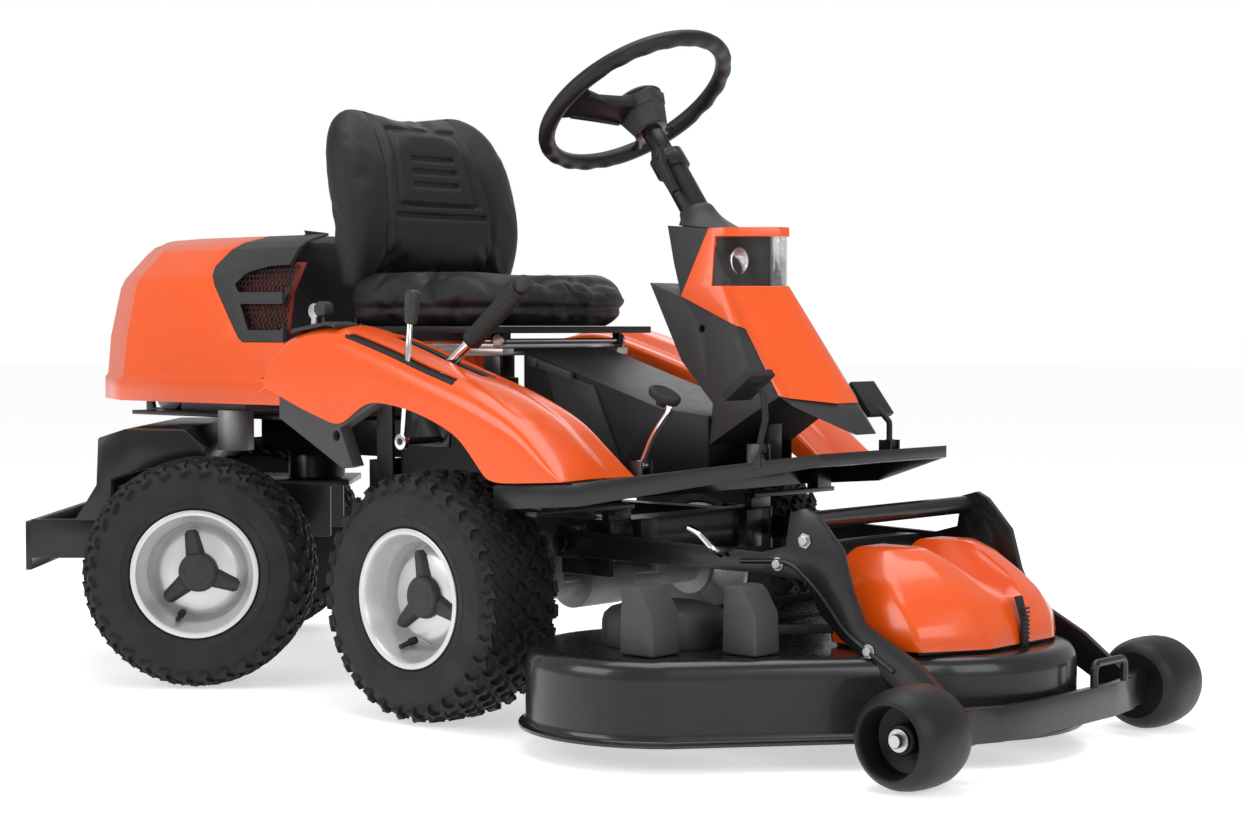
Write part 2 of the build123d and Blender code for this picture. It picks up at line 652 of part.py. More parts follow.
# Wheels: every tyre and every rim is its own piece, turned about its own axle
bead_width = 70.5
tyre_half_outline = [(rim_radius + running_gap, bead_width), (rim_flange_radius + 0.7, bead_width),
                     (rim_flange_radius + 4, 76), (150, tyre_width / 2), (181, 79),
                     (tyre_radius - 3, 66), (tyre_radius, 55)]
tyre_half_hollow = [(190, 50), (178, 66), (150, 71), (118, 62), (rim_radius + running_gap, 58)]
disc_offset = 30.0
rim_outline = [
    (rim_flange_radius, -75), (rim_flange_radius, -71), (rim_radius, -71), (rim_radius, -56),
    (90, -44), (90, 44), (rim_radius, 56), (rim_radius, 71), (rim_flange_radius, 71),
    (rim_flange_radius, 75), (98.6, 75), (98.6, 57), (87, 45), (87, 12), (72, disc_offset),
    (stub_radius + running_gap, disc_offset), (stub_radius + running_gap, -20), (32, -20),
    (32, 25), (70, 25), (87, 3), (87, -45), (98.6, -57), (98.6, -75),
]


def wheel_section(centre, side):
    """A plane with local x radial and local y along the axle, outwards."""
    return Plane(origin=centre, x_dir=(0, 0, 1), z_dir=(-side, 0, 0))


for place, axle_x in (("front", 0.0), ("rear", rear_axle_x)):
    for hand, side in (("left", 1), ("right", -1)):
        centre = (axle_x, side * wheel_y, axle_z)
        axle = Axis(centre, (0, side, 0))
        group = chassis_pieces if place == "front" else carriage_pieces
        mirrored = [(r, -w) for r, w in reversed(tyre_half_outline)]
        hollow = [(r, -w) for r, w in reversed(tyre_half_hollow)] + tyre_half_hollow
        with BuildPart() as tyre:
            with BuildSketch(wheel_section(centre, side)) as tread:
                Polygon(*(tyre_half_outline + mirrored + hollow), align=None)
            revolve(profiles=tread.sketch, axis=axle)
        keep(tyre, f"tyre_{place}_{hand}", group)

        with BuildPart() as rim:
            with BuildSketch(wheel_section(centre, side)) as barrel:
                Polygon(*rim_outline, align=None)
            revolve(profiles=barrel.sketch, axis=axle)
        cap_plane = Plane(origin=(axle_x, side * (wheel_y + disc_offset), axle_z),
                          x_dir=(0, 0, 1), z_dir=(0, side, 0))
        with BuildPart() as cap:
            with BuildSketch(cap_plane) as arms:
                with PolarLocations(0, 3, start_angle=0):
                    with Locations((32, 0)):
                        Rectangle(64, 22)
                Circle(34)
            extrude(to_extrude=arms.sketch, amount=7)
            with BuildSketch(cap_plane) as dome:
                Circle(34)
            extrude(to_extrude=dome.sketch, amount=15, taper=8)
        rim.part.label = f"rim_{place}_{hand}"
        group.append(Compound(label=rim.part.label, children=[rim.part, cap.part]))

# Rear carriage, drawn straight: swivel pin, top plate and transaxle
carriage_plate_z = (336.0, 348.0)
with BuildPart() as rear_frame:
    block((rear_axle_x - 170, pivot_x + 75), (-110, 110), carriage_plate_z)
    rod((pivot_x, 0, carriage_plate_z[1]), (pivot_x, 0, spine_z[0] - 2), swivel_boss_radius)
    rod((pivot_x, 0, spine_z[0] - 2), (pivot_x, 0, spine_z[1] - 6), swivel_pin_radius)
    both_sides((rear_axle_x - 170, pivot_x + 40), (102, 110), (carriage_plate_z[0] - 96,
                                                             carriage_plate_z[0]))
    block((rear_axle_x - 178, rear_axle_x - 170), (-250, 250), (212, carriage_plate_z[1]))
keep(rear_frame, "rear_frame", carriage_pieces)

with BuildPart() as rear_transaxle:
    block((rear_axle_x - 70, rear_axle_x + 90), (-100, 100), (axle_z - 62, carriage_plate_z[0]))
    fillet(rear_transaxle.edges().filter_by(Axis.Y), 16)
    rod((rear_axle_x, -274, axle_z), (rear_axle_x, 274, axle_z), 34)
    rod((rear_axle_x, -stub_end_y, axle_z), (rear_axle_x, stub_end_y, axle_z), stub_radius)
keep(rear_transaxle, "rear_transaxle", carriage_pieces)

weight_half_width = 281.0
with BuildPart() as weight_box:
    side_slab([(-1132, 285), (-1092, 350), (-1088, 436), (-1040, 452), (-930, 452), (-890, 418),
               (-890, 388), (-1000, 380), (-1062, 360), (rear_axle_x - 178, 285)],
              (-weight_half_width, weight_half_width))
keep(weight_box, "weight_box", carriage_pieces)

hitch_radius = 9.5
hitch_x = -1262.0
with BuildPart() as tow_bar:
    block((-1232, -1222), (-240, 240), (190, 280))
    both_sides((-1222, rear_axle_x - 178), (232, 240), (212, 284))
    block((-1284, -1232), (-40, 40), (190, 200))
    block((-1284, -1232), (-40, 40), (224, 234))
    fillet(tow_bar.edges().filter_by(Axis.Z).group_by(Axis.X)[0], 20)
    rod((hitch_x, 0, 100), (hitch_x, 0, 300), hitch_radius, Mode.SUBTRACT)
keep(tow_bar, "tow_bar", carriage_pieces)

# Hood over the engine: outer layers, hollowed by the same layers drawn in
hood_top_z = 812.0
hood_layers = [
    (500, mirrored_plan([(pivot_x + 176, 292), (pivot_x - 220, hood_half_width),
                         (pivot_x - 360, 232), (pivot_x - 452, 110)])),
    (560, mirrored_plan([(pivot_x + 172, 290), (pivot_x - 222, hood_half_width - 4),
                         (pivot_x - 364, 230), (pivot_x - 458, 110)])),
    (728, mirrored_plan([(pivot_x + 140, 262), (pivot_x - 206, 268),
                         (pivot_x - 340, 205), (pivot_x - 440, 100)])),
    (790, mirrored_plan([(pivot_x + 120, 200), (pivot_x - 200, 205),
                         (pivot_x - 325, 150), (pivot_x - 420, 80)])),
    (hood_top_z, mirrored_plan([(pivot_x + 100, 120), (pivot_x - 200, 130),
                                (pivot_x - 310, 100), (pivot_x - 390, 60)])),
]
hood_parting_x = pivot_x + 60
with BuildPart() as hood_solid:
    stack(hood_layers)
with BuildPart() as hood_room:
    stack([(z if z < hood_top_z else z - panel_wall, plan) for z, plan in
           grown(hood_layers, -panel_wall)])
    block((pivot_x - 520, pivot_x + 300), (-200, 200), (480, 500.5))

with BuildPart() as hood_shell:
    add(hood_solid.part)
    add(hood_room.part, mode=Mode.SUBTRACT)
    block((hood_parting_x, pivot_x + 400), (-400, 400), (400, 900), Mode.SUBTRACT)
    both_sides((hood_hinge[0] - 10, hood_hinge[0] + 10), (70, 78),
               (hood_hinge[1] - 10, hood_hinge[1] + 10))
    rod((hood_hinge[0], -100, hood_hinge[1]), (hood_hinge[0], 100, hood_hinge[1]),
        hood_pin_radius + running_gap, Mode.SUBTRACT)
keep(hood_shell, "hood_shell")

with BuildPart() as hood_frame:
    add(hood_solid.part)
    add(hood_room.part, mode=Mode.SUBTRACT)
    block((pivot_x - 600, hood_parting_x), (-400, 400), (400, 900), Mode.SUBTRACT)
    for low, high in ((570, 628), (648, 706)):
        block((hood_parting_x + 22, pivot_x + 150), (-400, 400), (low, high), Mode.SUBTRACT)
keep(hood_frame, "hood_frame")

with BuildPart() as intake_screens:
    for side in (-1, 1):
        with BuildSketch(Plane.YZ.offset(hood_parting_x + 16)) as screen:
            Polygon((side * 285.2, 562), (side * 282.2, 562), (side * 256.6, 714),
                    (side * 259.6, 714), align=None)
        extrude(to_extrude=screen.sketch, amount=60)
keep(intake_screens, "intake_screens")

# Deck frame: two arms, quarter plates, a cross tube and the front bow
arm_outline = [(128, 302), (128, 278), (150, 268), (556, 268), (640, 262), (668, 214), (704, 182),
               (806, 116), (866, 82), (872, 50), (930, 50), (930, 88), (840, 156), (744, 206),
               (722, 250), (704, 312), (660, 360), (640, 370), (612, 362), (604, 312),
               (560, 300), (150, 312)]
cross_tube = (618.0, 348.0)
bow_z = (52.0, 102.0)
roller_y = roller_track / 2
roller_x = 900.0
with BuildPart() as lift_frame:
    for side in (-1, 1):
        side_slab(arm_outline, sorted((side * deck_arm_y[0], side * deck_arm_y[1])))
        block((872, 930), sorted((side * deck_arm_y[1], side * 268)), (50, 100))
        rod((roller_x, side * 268, roller_radius), (roller_x, side * (roller_y + 42),
                                                   roller_radius), 10)
    rod((cross_tube[0], -deck_arm_y[0], cross_tube[1]), (cross_tube[0], deck_arm_y[0],
                                                        cross_tube[1]), 14)
    block((500, 530), (-deck_arm_y[0], deck_arm_y[0]), (272, 296))
    with BuildSketch(Plane.XY.offset(bow_z[0])) as bow:
        Polygon((884, -268), (918, -268), (950, -190), (962, -110), (962, 110), (950, 190),
                (918, 268), (884, 268), (884, 226), (912, 226), (940, 176), (950, 104),
                (950, -104), (940, -176), (912, -226), (884, -226), align=None)
    extrude(to_extrude=bow.sketch, amount=bow_z[1] - bow_z[0])
    rod((deck_pivot[0], -300, deck_pivot[1]), (deck_pivot[0], 300, deck_pivot[1]),
        deck_pin_radius + running_gap, Mode.SUBTRACT)
    bent_bar([(955, 60, bow_z[1] - 1), (955, 60, 136), (955, 150, 136), (955, 150, bow_z[1] - 1)],
             6, 12)
keep(lift_frame, "lift_frame")

for hand, side in (("left", 1), ("right", -1)):
    plane = Plane(origin=(roller_x, side * roller_y, roller_radius), x_dir=(0, 0, 1),
                  z_dir=(-side, 0, 0))
    with BuildPart() as roller:
        with BuildSketch(plane) as cup:
            Polygon((10 + running_gap, -46), (52, -60), (66, -50), (roller_radius, -24),
                    (roller_radius, 20), (68, 42), (58, 56), (51.5, 60), (48, 54), (48, 12),
                    (22, 6), (22, 30), (10 + running_gap, 30), align=None)
        revolve(profiles=cup.sketch,
                axis=Axis((roller_x, side * roller_y, roller_radius), (0, 1, 0)))
    keep(roller, f"roller_{hand}")

# Deck: three drums with a rim, and their blades, pulleys, belt and guards
drum_radius = blade_radius + blade_tip_gap
outer_drum = (436.0, 318.0)
middle_drum = (716.0, 0.0)
rim_overhang = 11.0
deck_step = 9.0
deck_wall = 3.0
guide_x = (540.0, 562.0)
drums = ((outer_drum[0], -outer_drum[1]), middle_drum, outer_drum)


def deck_plan(radius):
    """Three drums and the straight walls between them."""
    with BuildSketch() as plan:
        for centre in drums:
            with Locations(centre):
                Circle(radius)
        reach = radius / drum_radius
        x, y = outer_drum
        Polygon((x - 180 * reach, -y), (x + 150 * reach, -y - 150 * reach),
                (middle_drum[0], -208 * reach), (middle_drum[0], 208 * reach),
                (x + 150 * reach, y + 150 * reach), (x - 180 * reach, y), align=None)
    return plan.sketch


with BuildPart() as deck_shell:
    extrude(to_extrude=deck_plan(drum_radius).moved(Location((0, 0, deck_rim_z))),
            amount=deck_top_z - deck_rim_z - deck_step)
    extrude(to_extrude=deck_plan(drum_radius - deck_step).moved(Location((0, 0, deck_rim_z))),
            amount=deck_top_z - deck_rim_z)
    extrude(to_extrude=deck_plan(drum_radius + rim_overhang).moved(Location((0, 0, deck_rim_z))),
            amount=5)
    extrude(to_extrude=deck_plan(drum_radius - deck_wall).moved(Location((0, 0, 0))),
            amount=deck_top_z - deck_step - deck_wall, mode=Mode.SUBTRACT)
    for centre in drums:
        rod((*centre, deck_top_z - 5), (*centre, deck_top_z + 10), 46)
        rod((*centre, 100), (*centre, 300), 16 + running_gap, Mode.SUBTRACT)
    both_sides(guide_x, (deck_arm_y[0] - running_gap - 7, deck_arm_y[0] - running_gap),
               (deck_top_z - deck_step, 300))
keep(deck_shell, "deck_shell")

blade_z = 58.0
pulley_z = (176.0, 196.0)
pulley_radius = 62.0
for name, centre in zip(("right", "middle", "left"), drums):
    with BuildPart() as blade:
        rod((*centre, blade_z - 14), (*centre, pulley_z[1] + 4), 16)
        block((centre[0] - blade_radius, centre[0] + blade_radius),
              (centre[1] - 26, centre[1] + 26), (blade_z, blade_z + 4))
        rod((*centre, pulley_z[0]), (*centre, pulley_z[1]), pulley_radius)
        rod((*centre, blade_z - 8), (*centre, blade_z), 24)
    with BuildPart() as blade_trimmed:
        add(blade.part)
        with BuildSketch(Plane.XY) as swing:
            with Locations(centre):
                Circle(blade_radius)
        extrude(to_extrude=swing.sketch, amount=300, mode=Mode.INTERSECT)
    keep(blade_trimmed, f"blade_{name}")

belt_gap = 1.0
belt_thickness = 6.0
with BuildPart() as deck_belt:
    with BuildSketch(Plane.XY.offset(pulley_z[0] + 3)) as belt_outer:
        for centre in drums:
            with Locations(centre):
                Circle(pulley_radius + belt_gap + belt_thickness)
        make_hull()
    extrude(to_extrude=belt_outer.sketch, amount=14)
    with BuildSketch(Plane.XY.offset(pulley_z[0])) as belt_inner:
        for centre in drums:
            with Locations(centre):
                Circle(pulley_radius + belt_gap)
        make_hull()
    extrude(to_extrude=belt_inner.sketch, amount=30, mode=Mode.SUBTRACT)
keep(deck_belt, "deck_belt")

guard_radius = pulley_radius + 34
guard_z = (deck_top_z, 222.0)
with BuildPart() as belt_guards:
    for side in (-1, 1):
        centre = (outer_drum[0], side * outer_drum[1])
        rod((*centre, guard_z[0]), (*centre, guard_z[1] - 14), guard_radius)
        rod((*centre, guard_z[1] - 14), (*centre, guard_z[1]), guard_radius - 22)
        rod((*centre, guard_z[0] - 1), (*centre, guard_z[1] - 20), guard_radius - 6, Mode.SUBTRACT)
        block((340, 700), sorted((side * 150, side * 348)), (170, 206), Mode.SUBTRACT)
        for fin_x, fin_y in ((480, (405, 459)), (582, (303, 357))):
            fin = [(fin_x, guard_z[0]), (fin_x, 262), (fin_x + 34, 264), (fin_x + 60, 222),
                   (fin_x + 62, guard_z[0])]
            side_slab(fin, sorted((side * fin_y[0], side * fin_y[1])))
keep(belt_guards, "belt_guards")

cover_low_z = deck_top_z
deck_cover_layers = [
    (cover_low_z, mirrored_plan([(872, 84), (800, 190), (640, 176)])),
    (215, mirrored_plan([(858, 96), (785, 188), (634, 172)])),
    (262, mirrored_plan([(820, 112), (745, 172), (630, 160)])),
    (308, mirrored_plan([(742, 100), (712, 130), (640, 126)])),
]
with BuildPart() as deck_cover:
    stack(deck_cover_layers)
    stack([(z if z < 300 else z - panel_wall, plan) for z, plan in
           grown(deck_cover_layers, -panel_wall)], Mode.SUBTRACT)
    block((600, 700), (-outer_drum[1], outer_drum[1]), (cover_low_z, pulley_z[1] + 6),
          Mode.SUBTRACT)
keep(deck_cover, "deck_cover")

# Saving: turn the carriage to full lock, move the origin, write every piece
swivel = Axis((pivot_x, 0, 0), (0, 0, 1))
to_origin = Location((*middle_of_box, 0))
placed = [piece.moved(to_origin) for piece in chassis_pieces]
placed += [piece.rotate(swivel, steer_lock).moved(to_origin) for piece in carriage_pieces]
for piece, source in zip(placed, chassis_pieces + carriage_pieces):
    piece.label = source.label
    export_step(piece, f"parts/{piece.label}.step")
whole = Compound(children=list(placed)).bounding_box()
print("pieces", len(placed), "box", whole.min, whole.max, "middle", whole.center())
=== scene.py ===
import bpy, bmesh, math
from mathutils import Matrix, Vector


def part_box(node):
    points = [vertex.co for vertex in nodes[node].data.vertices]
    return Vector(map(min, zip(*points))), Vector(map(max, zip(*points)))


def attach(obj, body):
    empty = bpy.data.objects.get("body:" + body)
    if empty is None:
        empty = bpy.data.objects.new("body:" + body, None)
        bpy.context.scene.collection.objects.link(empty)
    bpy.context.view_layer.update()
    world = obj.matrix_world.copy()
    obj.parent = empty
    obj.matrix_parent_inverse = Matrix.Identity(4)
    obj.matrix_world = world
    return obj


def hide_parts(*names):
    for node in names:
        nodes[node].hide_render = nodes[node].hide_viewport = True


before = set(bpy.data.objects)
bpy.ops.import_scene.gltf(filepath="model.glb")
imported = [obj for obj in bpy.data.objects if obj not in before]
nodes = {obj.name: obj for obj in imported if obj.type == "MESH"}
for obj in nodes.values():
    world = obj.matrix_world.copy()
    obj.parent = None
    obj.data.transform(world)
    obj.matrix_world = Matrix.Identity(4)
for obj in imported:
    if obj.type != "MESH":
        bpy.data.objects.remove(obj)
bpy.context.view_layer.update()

# Pieces are drawn in millimetres about the ground point under the front axle, x forward,
# y to the driver's left, with the rear carriage straight. This is where that point lies.
wheelLow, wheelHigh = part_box("tyre_front_left")
plateLow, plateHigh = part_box("footplate")
datum = Vector(((wheelLow.x + wheelHigh.x) / 2, (plateLow.y + plateHigh.y) / 2, 0))
toPlace = Matrix.Translation(datum) @ Matrix.Scale(0.001, 4)
swivel = Vector((-724.5, 0, 0))
turned = Matrix.Translation(swivel) @ Matrix.Rotation(math.radians(41.6), 4, "Z") @ Matrix.Translation(-swivel)


# Materials

def newShader(name, **sockets):
    made = bpy.data.materials.new(name)
    made.use_nodes = True
    shader = made.node_tree.nodes["Principled BSDF"]
    for socket, value in sockets.items():
        shader.inputs[socket.replace("_", " ")].default_value = value
    return made, made.node_tree.nodes, made.node_tree.links, shader


def noiseAt(tree, links, coords, scale, detail=4.0, stretch=None):
    noise = tree.new("ShaderNodeTexNoise")
    noise.inputs["Scale"].default_value = scale
    noise.inputs["Detail"].default_value = detail
    if stretch:
        mapping = tree.new("ShaderNodeMapping")
        mapping.inputs["Scale"].default_value = stretch
        links.new(coords.outputs["Object"], mapping.inputs["Vector"])
        links.new(mapping.outputs["Vector"], noise.inputs["Vector"])
    else:
        links.new(coords.outputs["Object"], noise.inputs["Vector"])
    return noise


def surface(name, colour, rough, metal=0.0, coat=0.0, grain=0.0, grainScale=900.0, patch=0.12,
            patchScale=14.0, roughSpread=0.08, stretch=None, cells=0.0, cellScale=500.0, dust=0.0, shine=0.5):
    made, tree, links, shader = newShader(name, Metallic=metal, Coat_Weight=coat, Coat_Roughness=0.08,
                                          Specular_IOR_Level=shine)
    coords = tree.new("ShaderNodeTexCoord")
    cloud = noiseAt(tree, links, coords, patchScale)
    tint = tree.new("ShaderNodeValToRGB")
    tint.color_ramp.elements[0].position, tint.color_ramp.elements[1].position = 0.3, 0.7
    dark = [c * (1 - patch) for c in colour]
    light = [min(1.0, c * (1 + patch) + dust) for c in colour]
    tint.color_ramp.elements[0].color, tint.color_ramp.elements[1].color = (*dark, 1), (*light, 1)
    links.new(cloud.outputs["Fac"], tint.inputs["Fac"])
    links.new(tint.outputs["Color"], shader.inputs["Base Color"])
    spread = tree.new("ShaderNodeMapRange")
    spread.inputs["To Min"].default_value = max(0.02, rough - roughSpread)
    spread.inputs["To Max"].default_value = min(1.0, rough + roughSpread)
    smear = noiseAt(tree, links, coords, patchScale * 3.1, 6.0, stretch)
    links.new(smear.outputs["Fac"], spread.inputs["Value"])
    links.new(spread.outputs["Result"], shader.inputs["Roughness"])
    if grain or cells:
        bump = tree.new("ShaderNodeBump")
        bump.inputs["Distance"].default_value = 0.0006
        if cells:
            leather = tree.new("ShaderNodeTexVoronoi")
            leather.feature = "DISTANCE_TO_EDGE"
            leather.inputs["Scale"].default_value = cellScale
            links.new(coords.outputs["Object"], leather.inputs["Vector"])
            edge = tree.new("ShaderNodeMapRange")
            edge.inputs["From Max"].default_value = 0.18
            links.new(leather.outputs["Distance"], edge.inputs["Value"])
            links.new(edge.outputs["Result"], bump.inputs["Height"])
            bump.inputs["Strength"].default_value = cells
        else:
            fine = noiseAt(tree, links, coords, grainScale, 3.0, stretch)
            links.new(fine.outputs["Fac"], bump.inputs["Height"])
            bump.inputs["Strength"].default_value = grain
        links.new(bump.outputs["Normal"], shader.inputs["Normal"])
    return made


mat = {
    "orangePanel": surface("orangePanel", (0.78, 0.086, 0.004), 0.26, coat=0.28, grain=0.05, grainScale=260,
                           patch=0.035, patchScale=5, roughSpread=0.04),
    "darkPanel": surface("darkPanel", (0.024, 0.024, 0.025), 0.5, shine=0.38, grain=0.25, grainScale=1400, patch=0.1),
    "blackPlastic": surface("blackPlastic", (0.0075, 0.0075, 0.008), 0.46, shine=0.32, grain=0.22, grainScale=1300,
                            patch=0.16),
    "greyTrim": surface("greyTrim", (0.05, 0.05, 0.052), 0.52, shine=0.35, grain=0.28, grainScale=1400, patch=0.1),
    "blackSteel": surface("blackSteel", (0.006, 0.006, 0.0065), 0.3, coat=0.15, shine=0.4, grain=0.08,
                          grainScale=300, patch=0.2),
    "deckPaint": surface("deckPaint", (0.0085, 0.0085, 0.009), 0.27, coat=0.3, shine=0.4, grain=0.06,
                         grainScale=220, patch=0.15),
    "silverRim": surface("silverRim", (0.62, 0.62, 0.63), 0.36, metal=0.55, grain=0.05, grainScale=700, patch=0.06),
    "bareSteel": surface("bareSteel", (0.5, 0.5, 0.5), 0.34, metal=1.0, grain=0.1, grainScale=900, patch=0.12,
                         stretch=(1, 12, 12)),
    "chromed": surface("chromed", (0.78, 0.78, 0.79), 0.1, metal=1.0, patch=0.03, roughSpread=0.04),
    "castAlloy": surface("castAlloy", (0.28, 0.28, 0.29), 0.55, metal=0.85, grain=0.5, grainScale=700, patch=0.18),
    "tyreRubber": surface("tyreRubber", (0.009, 0.009, 0.0095), 0.66, shine=0.35, grain=0.35, grainScale=900,
                          patch=0.28, patchScale=22, dust=0.004),
    "gripRubber": surface("gripRubber", (0.011, 0.011, 0.0115), 0.6, shine=0.35, grain=0.3, grainScale=1500,
                          patch=0.15),
    "seatVinyl": surface("seatVinyl", (0.0065, 0.0065, 0.007), 0.48, shine=0.34, cells=0.28, cellScale=620,
                         patch=0.14, patchScale=9, roughSpread=0.06),
    "lampChrome": surface("lampChrome", (0.85, 0.85, 0.86), 0.07, metal=1.0, cells=0.5, cellScale=260, patch=0.02),
    # painted glow: dark red colour for the sheet behind the intake screens, standing in for the reddish light seen
    # through them; it does not emit
    "paintedGlowRed": surface("paintedGlowRed", (0.16, 0.012, 0.006), 0.5, grain=0.3, patch=0.35, patchScale=18),
}
mat["lampGlass"] = newShader("lampGlass", Base_Color=(0.9, 0.92, 0.94, 1), Roughness=0.04,
                             Transmission_Weight=1.0, IOR=1.25, Alpha=0.42)[0]
print("materials made", len(mat))


# Workshop: how every piece is shaped and put in place

def newMesh():
    return bmesh.new()


def faceFrom(bm, points):
    return bmesh.ops.contextual_create(bm, geom=[bm.verts.new(p) for p in points])["faces"][0]


def pushFace(bm, face, move):
    grown = bmesh.ops.extrude_face_region(bm, geom=[face])["geom"]
    corners = [g for g in grown if isinstance(g, bmesh.types.BMVert)]
    bmesh.ops.translate(bm, vec=Vector(move), verts=corners)
    return corners


def sideSlab(bm, outline, near, far):
    pushFace(bm, faceFrom(bm, [(x, near, z) for x, z in outline]), (0, far - near, 0))


def planSlab(bm, outline, low, high):
    pushFace(bm, faceFrom(bm, [(x, y, low) for x, y in outline]), (0, 0, high - low))


def blockIn(bm, x, y, z):
    size = Matrix.Diagonal((x[1] - x[0], y[1] - y[0], z[1] - z[0], 1))
    middle = Matrix.Translation(((x[0] + x[1]) / 2, (y[0] + y[1]) / 2, (z[0] + z[1]) / 2))
    return bmesh.ops.create_cube(bm, size=1, matrix=middle @ size)["verts"]


def rodIn(bm, start, end, radius, endRadius=None, segments=24):
    start, end = Vector(start), Vector(end)
    aim = (end - start).to_track_quat("Z", "Y").to_matrix().to_4x4()
    place = Matrix.Translation((start + end) / 2) @ aim
    far = radius if endRadius is None else endRadius
    return bmesh.ops.create_cone(bm, cap_ends=True, segments=segments, radius1=radius, radius2=far,
                                 depth=(end - start).length, matrix=place)["verts"]


def latheIn(bm, profile, centre, axis, steps=64):
    axis = Vector(axis).normalized()
    out = axis.orthogonal().normalized()
    verts = [bm.verts.new(Vector(centre) + out * r + axis * w) for r, w in profile]
    edges = [bm.edges.new((a, b)) for a, b in zip(verts, verts[1:])]
    bmesh.ops.spin(bm, geom=verts + edges, cent=centre, axis=axis, angle=2 * math.pi, steps=steps, use_merge=True)
    bmesh.ops.remove_doubles(bm, verts=bm.verts, dist=0.01)


def loftIn(bm, loops, capEnds=True):
    rings = []
    for loop in loops:
        verts = [bm.verts.new(p) for p in loop]
        rings.append([bm.edges.new((a, b)) for a, b in zip(verts, verts[1:] + verts[:1])])
    for one, two in zip(rings, rings[1:]):
        bmesh.ops.bridge_loops(bm, edges=one + two)
    if capEnds:
        for ring in (rings[0], rings[-1]):
            bmesh.ops.contextual_create(bm, geom=ring)


def gridIn(bm, sections):
    rows, columns = len(sections), len(sections[0])
    made = bmesh.ops.create_grid(bm, x_segments=columns - 1, y_segments=rows - 1, size=1)["verts"]
    flat = [p for section in sections for p in section]
    for vert, place in zip(made, flat):
        vert.co = place
    return made


def barIn(bm, points, radius, bend=10, resolution=6):
    line = bpy.data.curves.new("bar", "CURVE")
    line.dimensions = "3D"
    line.bevel_depth = radius
    line.bevel_resolution = resolution
    line.use_fill_caps = True
    spline = line.splines.new("BEZIER")
    places = [Vector(p) for p in points]
    stops = [places[0]]
    for before, corner, after in zip(places, places[1:], places[2:]):
        stops += [corner + (before - corner).normalized() * bend, corner + (after - corner).normalized() * bend]
    stops.append(places[-1])
    spline.bezier_points.add(len(stops) - 1)
    for index, (point, place) in enumerate(zip(spline.bezier_points, stops)):
        point.co = place
        point.handle_left_type = point.handle_right_type = "FREE"
        point.handle_left = point.handle_right = place
        if 0 < index < len(stops) - 1:
            corner = places[(index + 1) // 2]
            if index % 2:
                point.handle_right = place.lerp(corner, 0.55)
            else:
                point.handle_left = place.lerp(corner, 0.55)
    holder = bpy.data.objects.new("bar", line)
    bpy.context.scene.collection.objects.link(holder)
    bpy.context.view_layer.update()
    mesh = bpy.data.meshes.new_from_object(holder)
    bm.from_mesh(mesh)
    bmesh.ops.remove_doubles(bm, verts=bm.verts, dist=0.01)
    bpy.data.objects.remove(holder)
    bpy.data.curves.remove(line)
    bpy.data.meshes.remove(mesh)


def joinedIn(bm, other):
    held = bpy.data.meshes.new("held")
    other.to_mesh(held)
    other.free()
    bm.from_mesh(held)
    bpy.data.meshes.remove(held)


def mirroredIn(bm):
    bmesh.ops.mirror(bm, geom=bm.verts[:] + bm.edges[:] + bm.faces[:], axis="Y", merge_dist=0.05)


def edgeRun(edge):
    return (edge.verts[0].co - edge.verts[1].co).normalized()


def roundEdges(bm, width, segments=3, sharperThan=30, only=None):
    edges = [e for e in bm.edges if e.is_manifold and math.degrees(e.calc_face_angle(0)) > sharperThan
             and (only is None or only(e))]
    bmesh.ops.bevel(bm, geom=edges, offset=width, segments=segments, profile=0.5, affect="EDGES", material=-1,
                    clamp_overlap=True)


def settled(obj):
    bpy.context.view_layer.update()
    graph = bpy.context.evaluated_depsgraph_get()
    mesh = bpy.data.meshes.new_from_object(obj.evaluated_get(graph))
    obj.modifiers.clear()
    obj.data = mesh
    return obj


def modifier(obj, kind, **settings):
    made = obj.modifiers.new(kind.lower(), kind)
    for key, value in settings.items():
        setattr(made, key, value)
    return made


def bevelled(obj, width, segments, angle):
    modifier(obj, "BEVEL", width=width / 1000, segments=segments, limit_method="ANGLE",
             angle_limit=math.radians(angle), harden_normals=False)


def rawPiece(name, bm, place=toPlace, fixNormals=True):
    if fixNormals:
        bmesh.ops.recalc_face_normals(bm, faces=bm.faces)
    bm.transform(place)
    mesh = bpy.data.meshes.new(name)
    bm.to_mesh(mesh)
    bm.free()
    obj = bpy.data.objects.new(name, mesh)
    bpy.context.scene.collection.objects.link(obj)
    return obj


def cutWith(obj, cutter, mode="DIFFERENCE"):
    modifier(obj, "BOOLEAN", operation=mode, solver="MANIFOLD", object=cutter)
    settled(obj)
    bpy.data.objects.remove(cutter)
    return obj


def dress(obj, material, body, replaces=(), sharp=35, smooth=True):
    obj.data.materials.clear()
    obj.data.materials.append(mat[material])
    if smooth:
        obj.data.shade_smooth()
        obj.data.set_sharp_from_angle(angle=math.radians(sharp))
    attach(obj, body)
    if replaces:
        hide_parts(*replaces)
    return obj


def piece(name, bm, material, body, replaces=(), bevel=0.0, segments=2, subdivide=0, thick=0.0, offset=-1.0, sharp=35,
          place=toPlace, fixNormals=True, bevelAngle=35):
    obj = rawPiece(name, bm, place, fixNormals)
    if thick:
        modifier(obj, "SOLIDIFY", thickness=thick / 1000, offset=offset, use_even_offset=True)
    if subdivide:
        modifier(obj, "SUBSURF", levels=subdivide, render_levels=subdivide)
    if bevel:
        bevelled(obj, bevel, segments, bevelAngle)
    if thick or subdivide or bevel:
        settled(obj)
    return dress(obj, material, body, replaces, sharp)


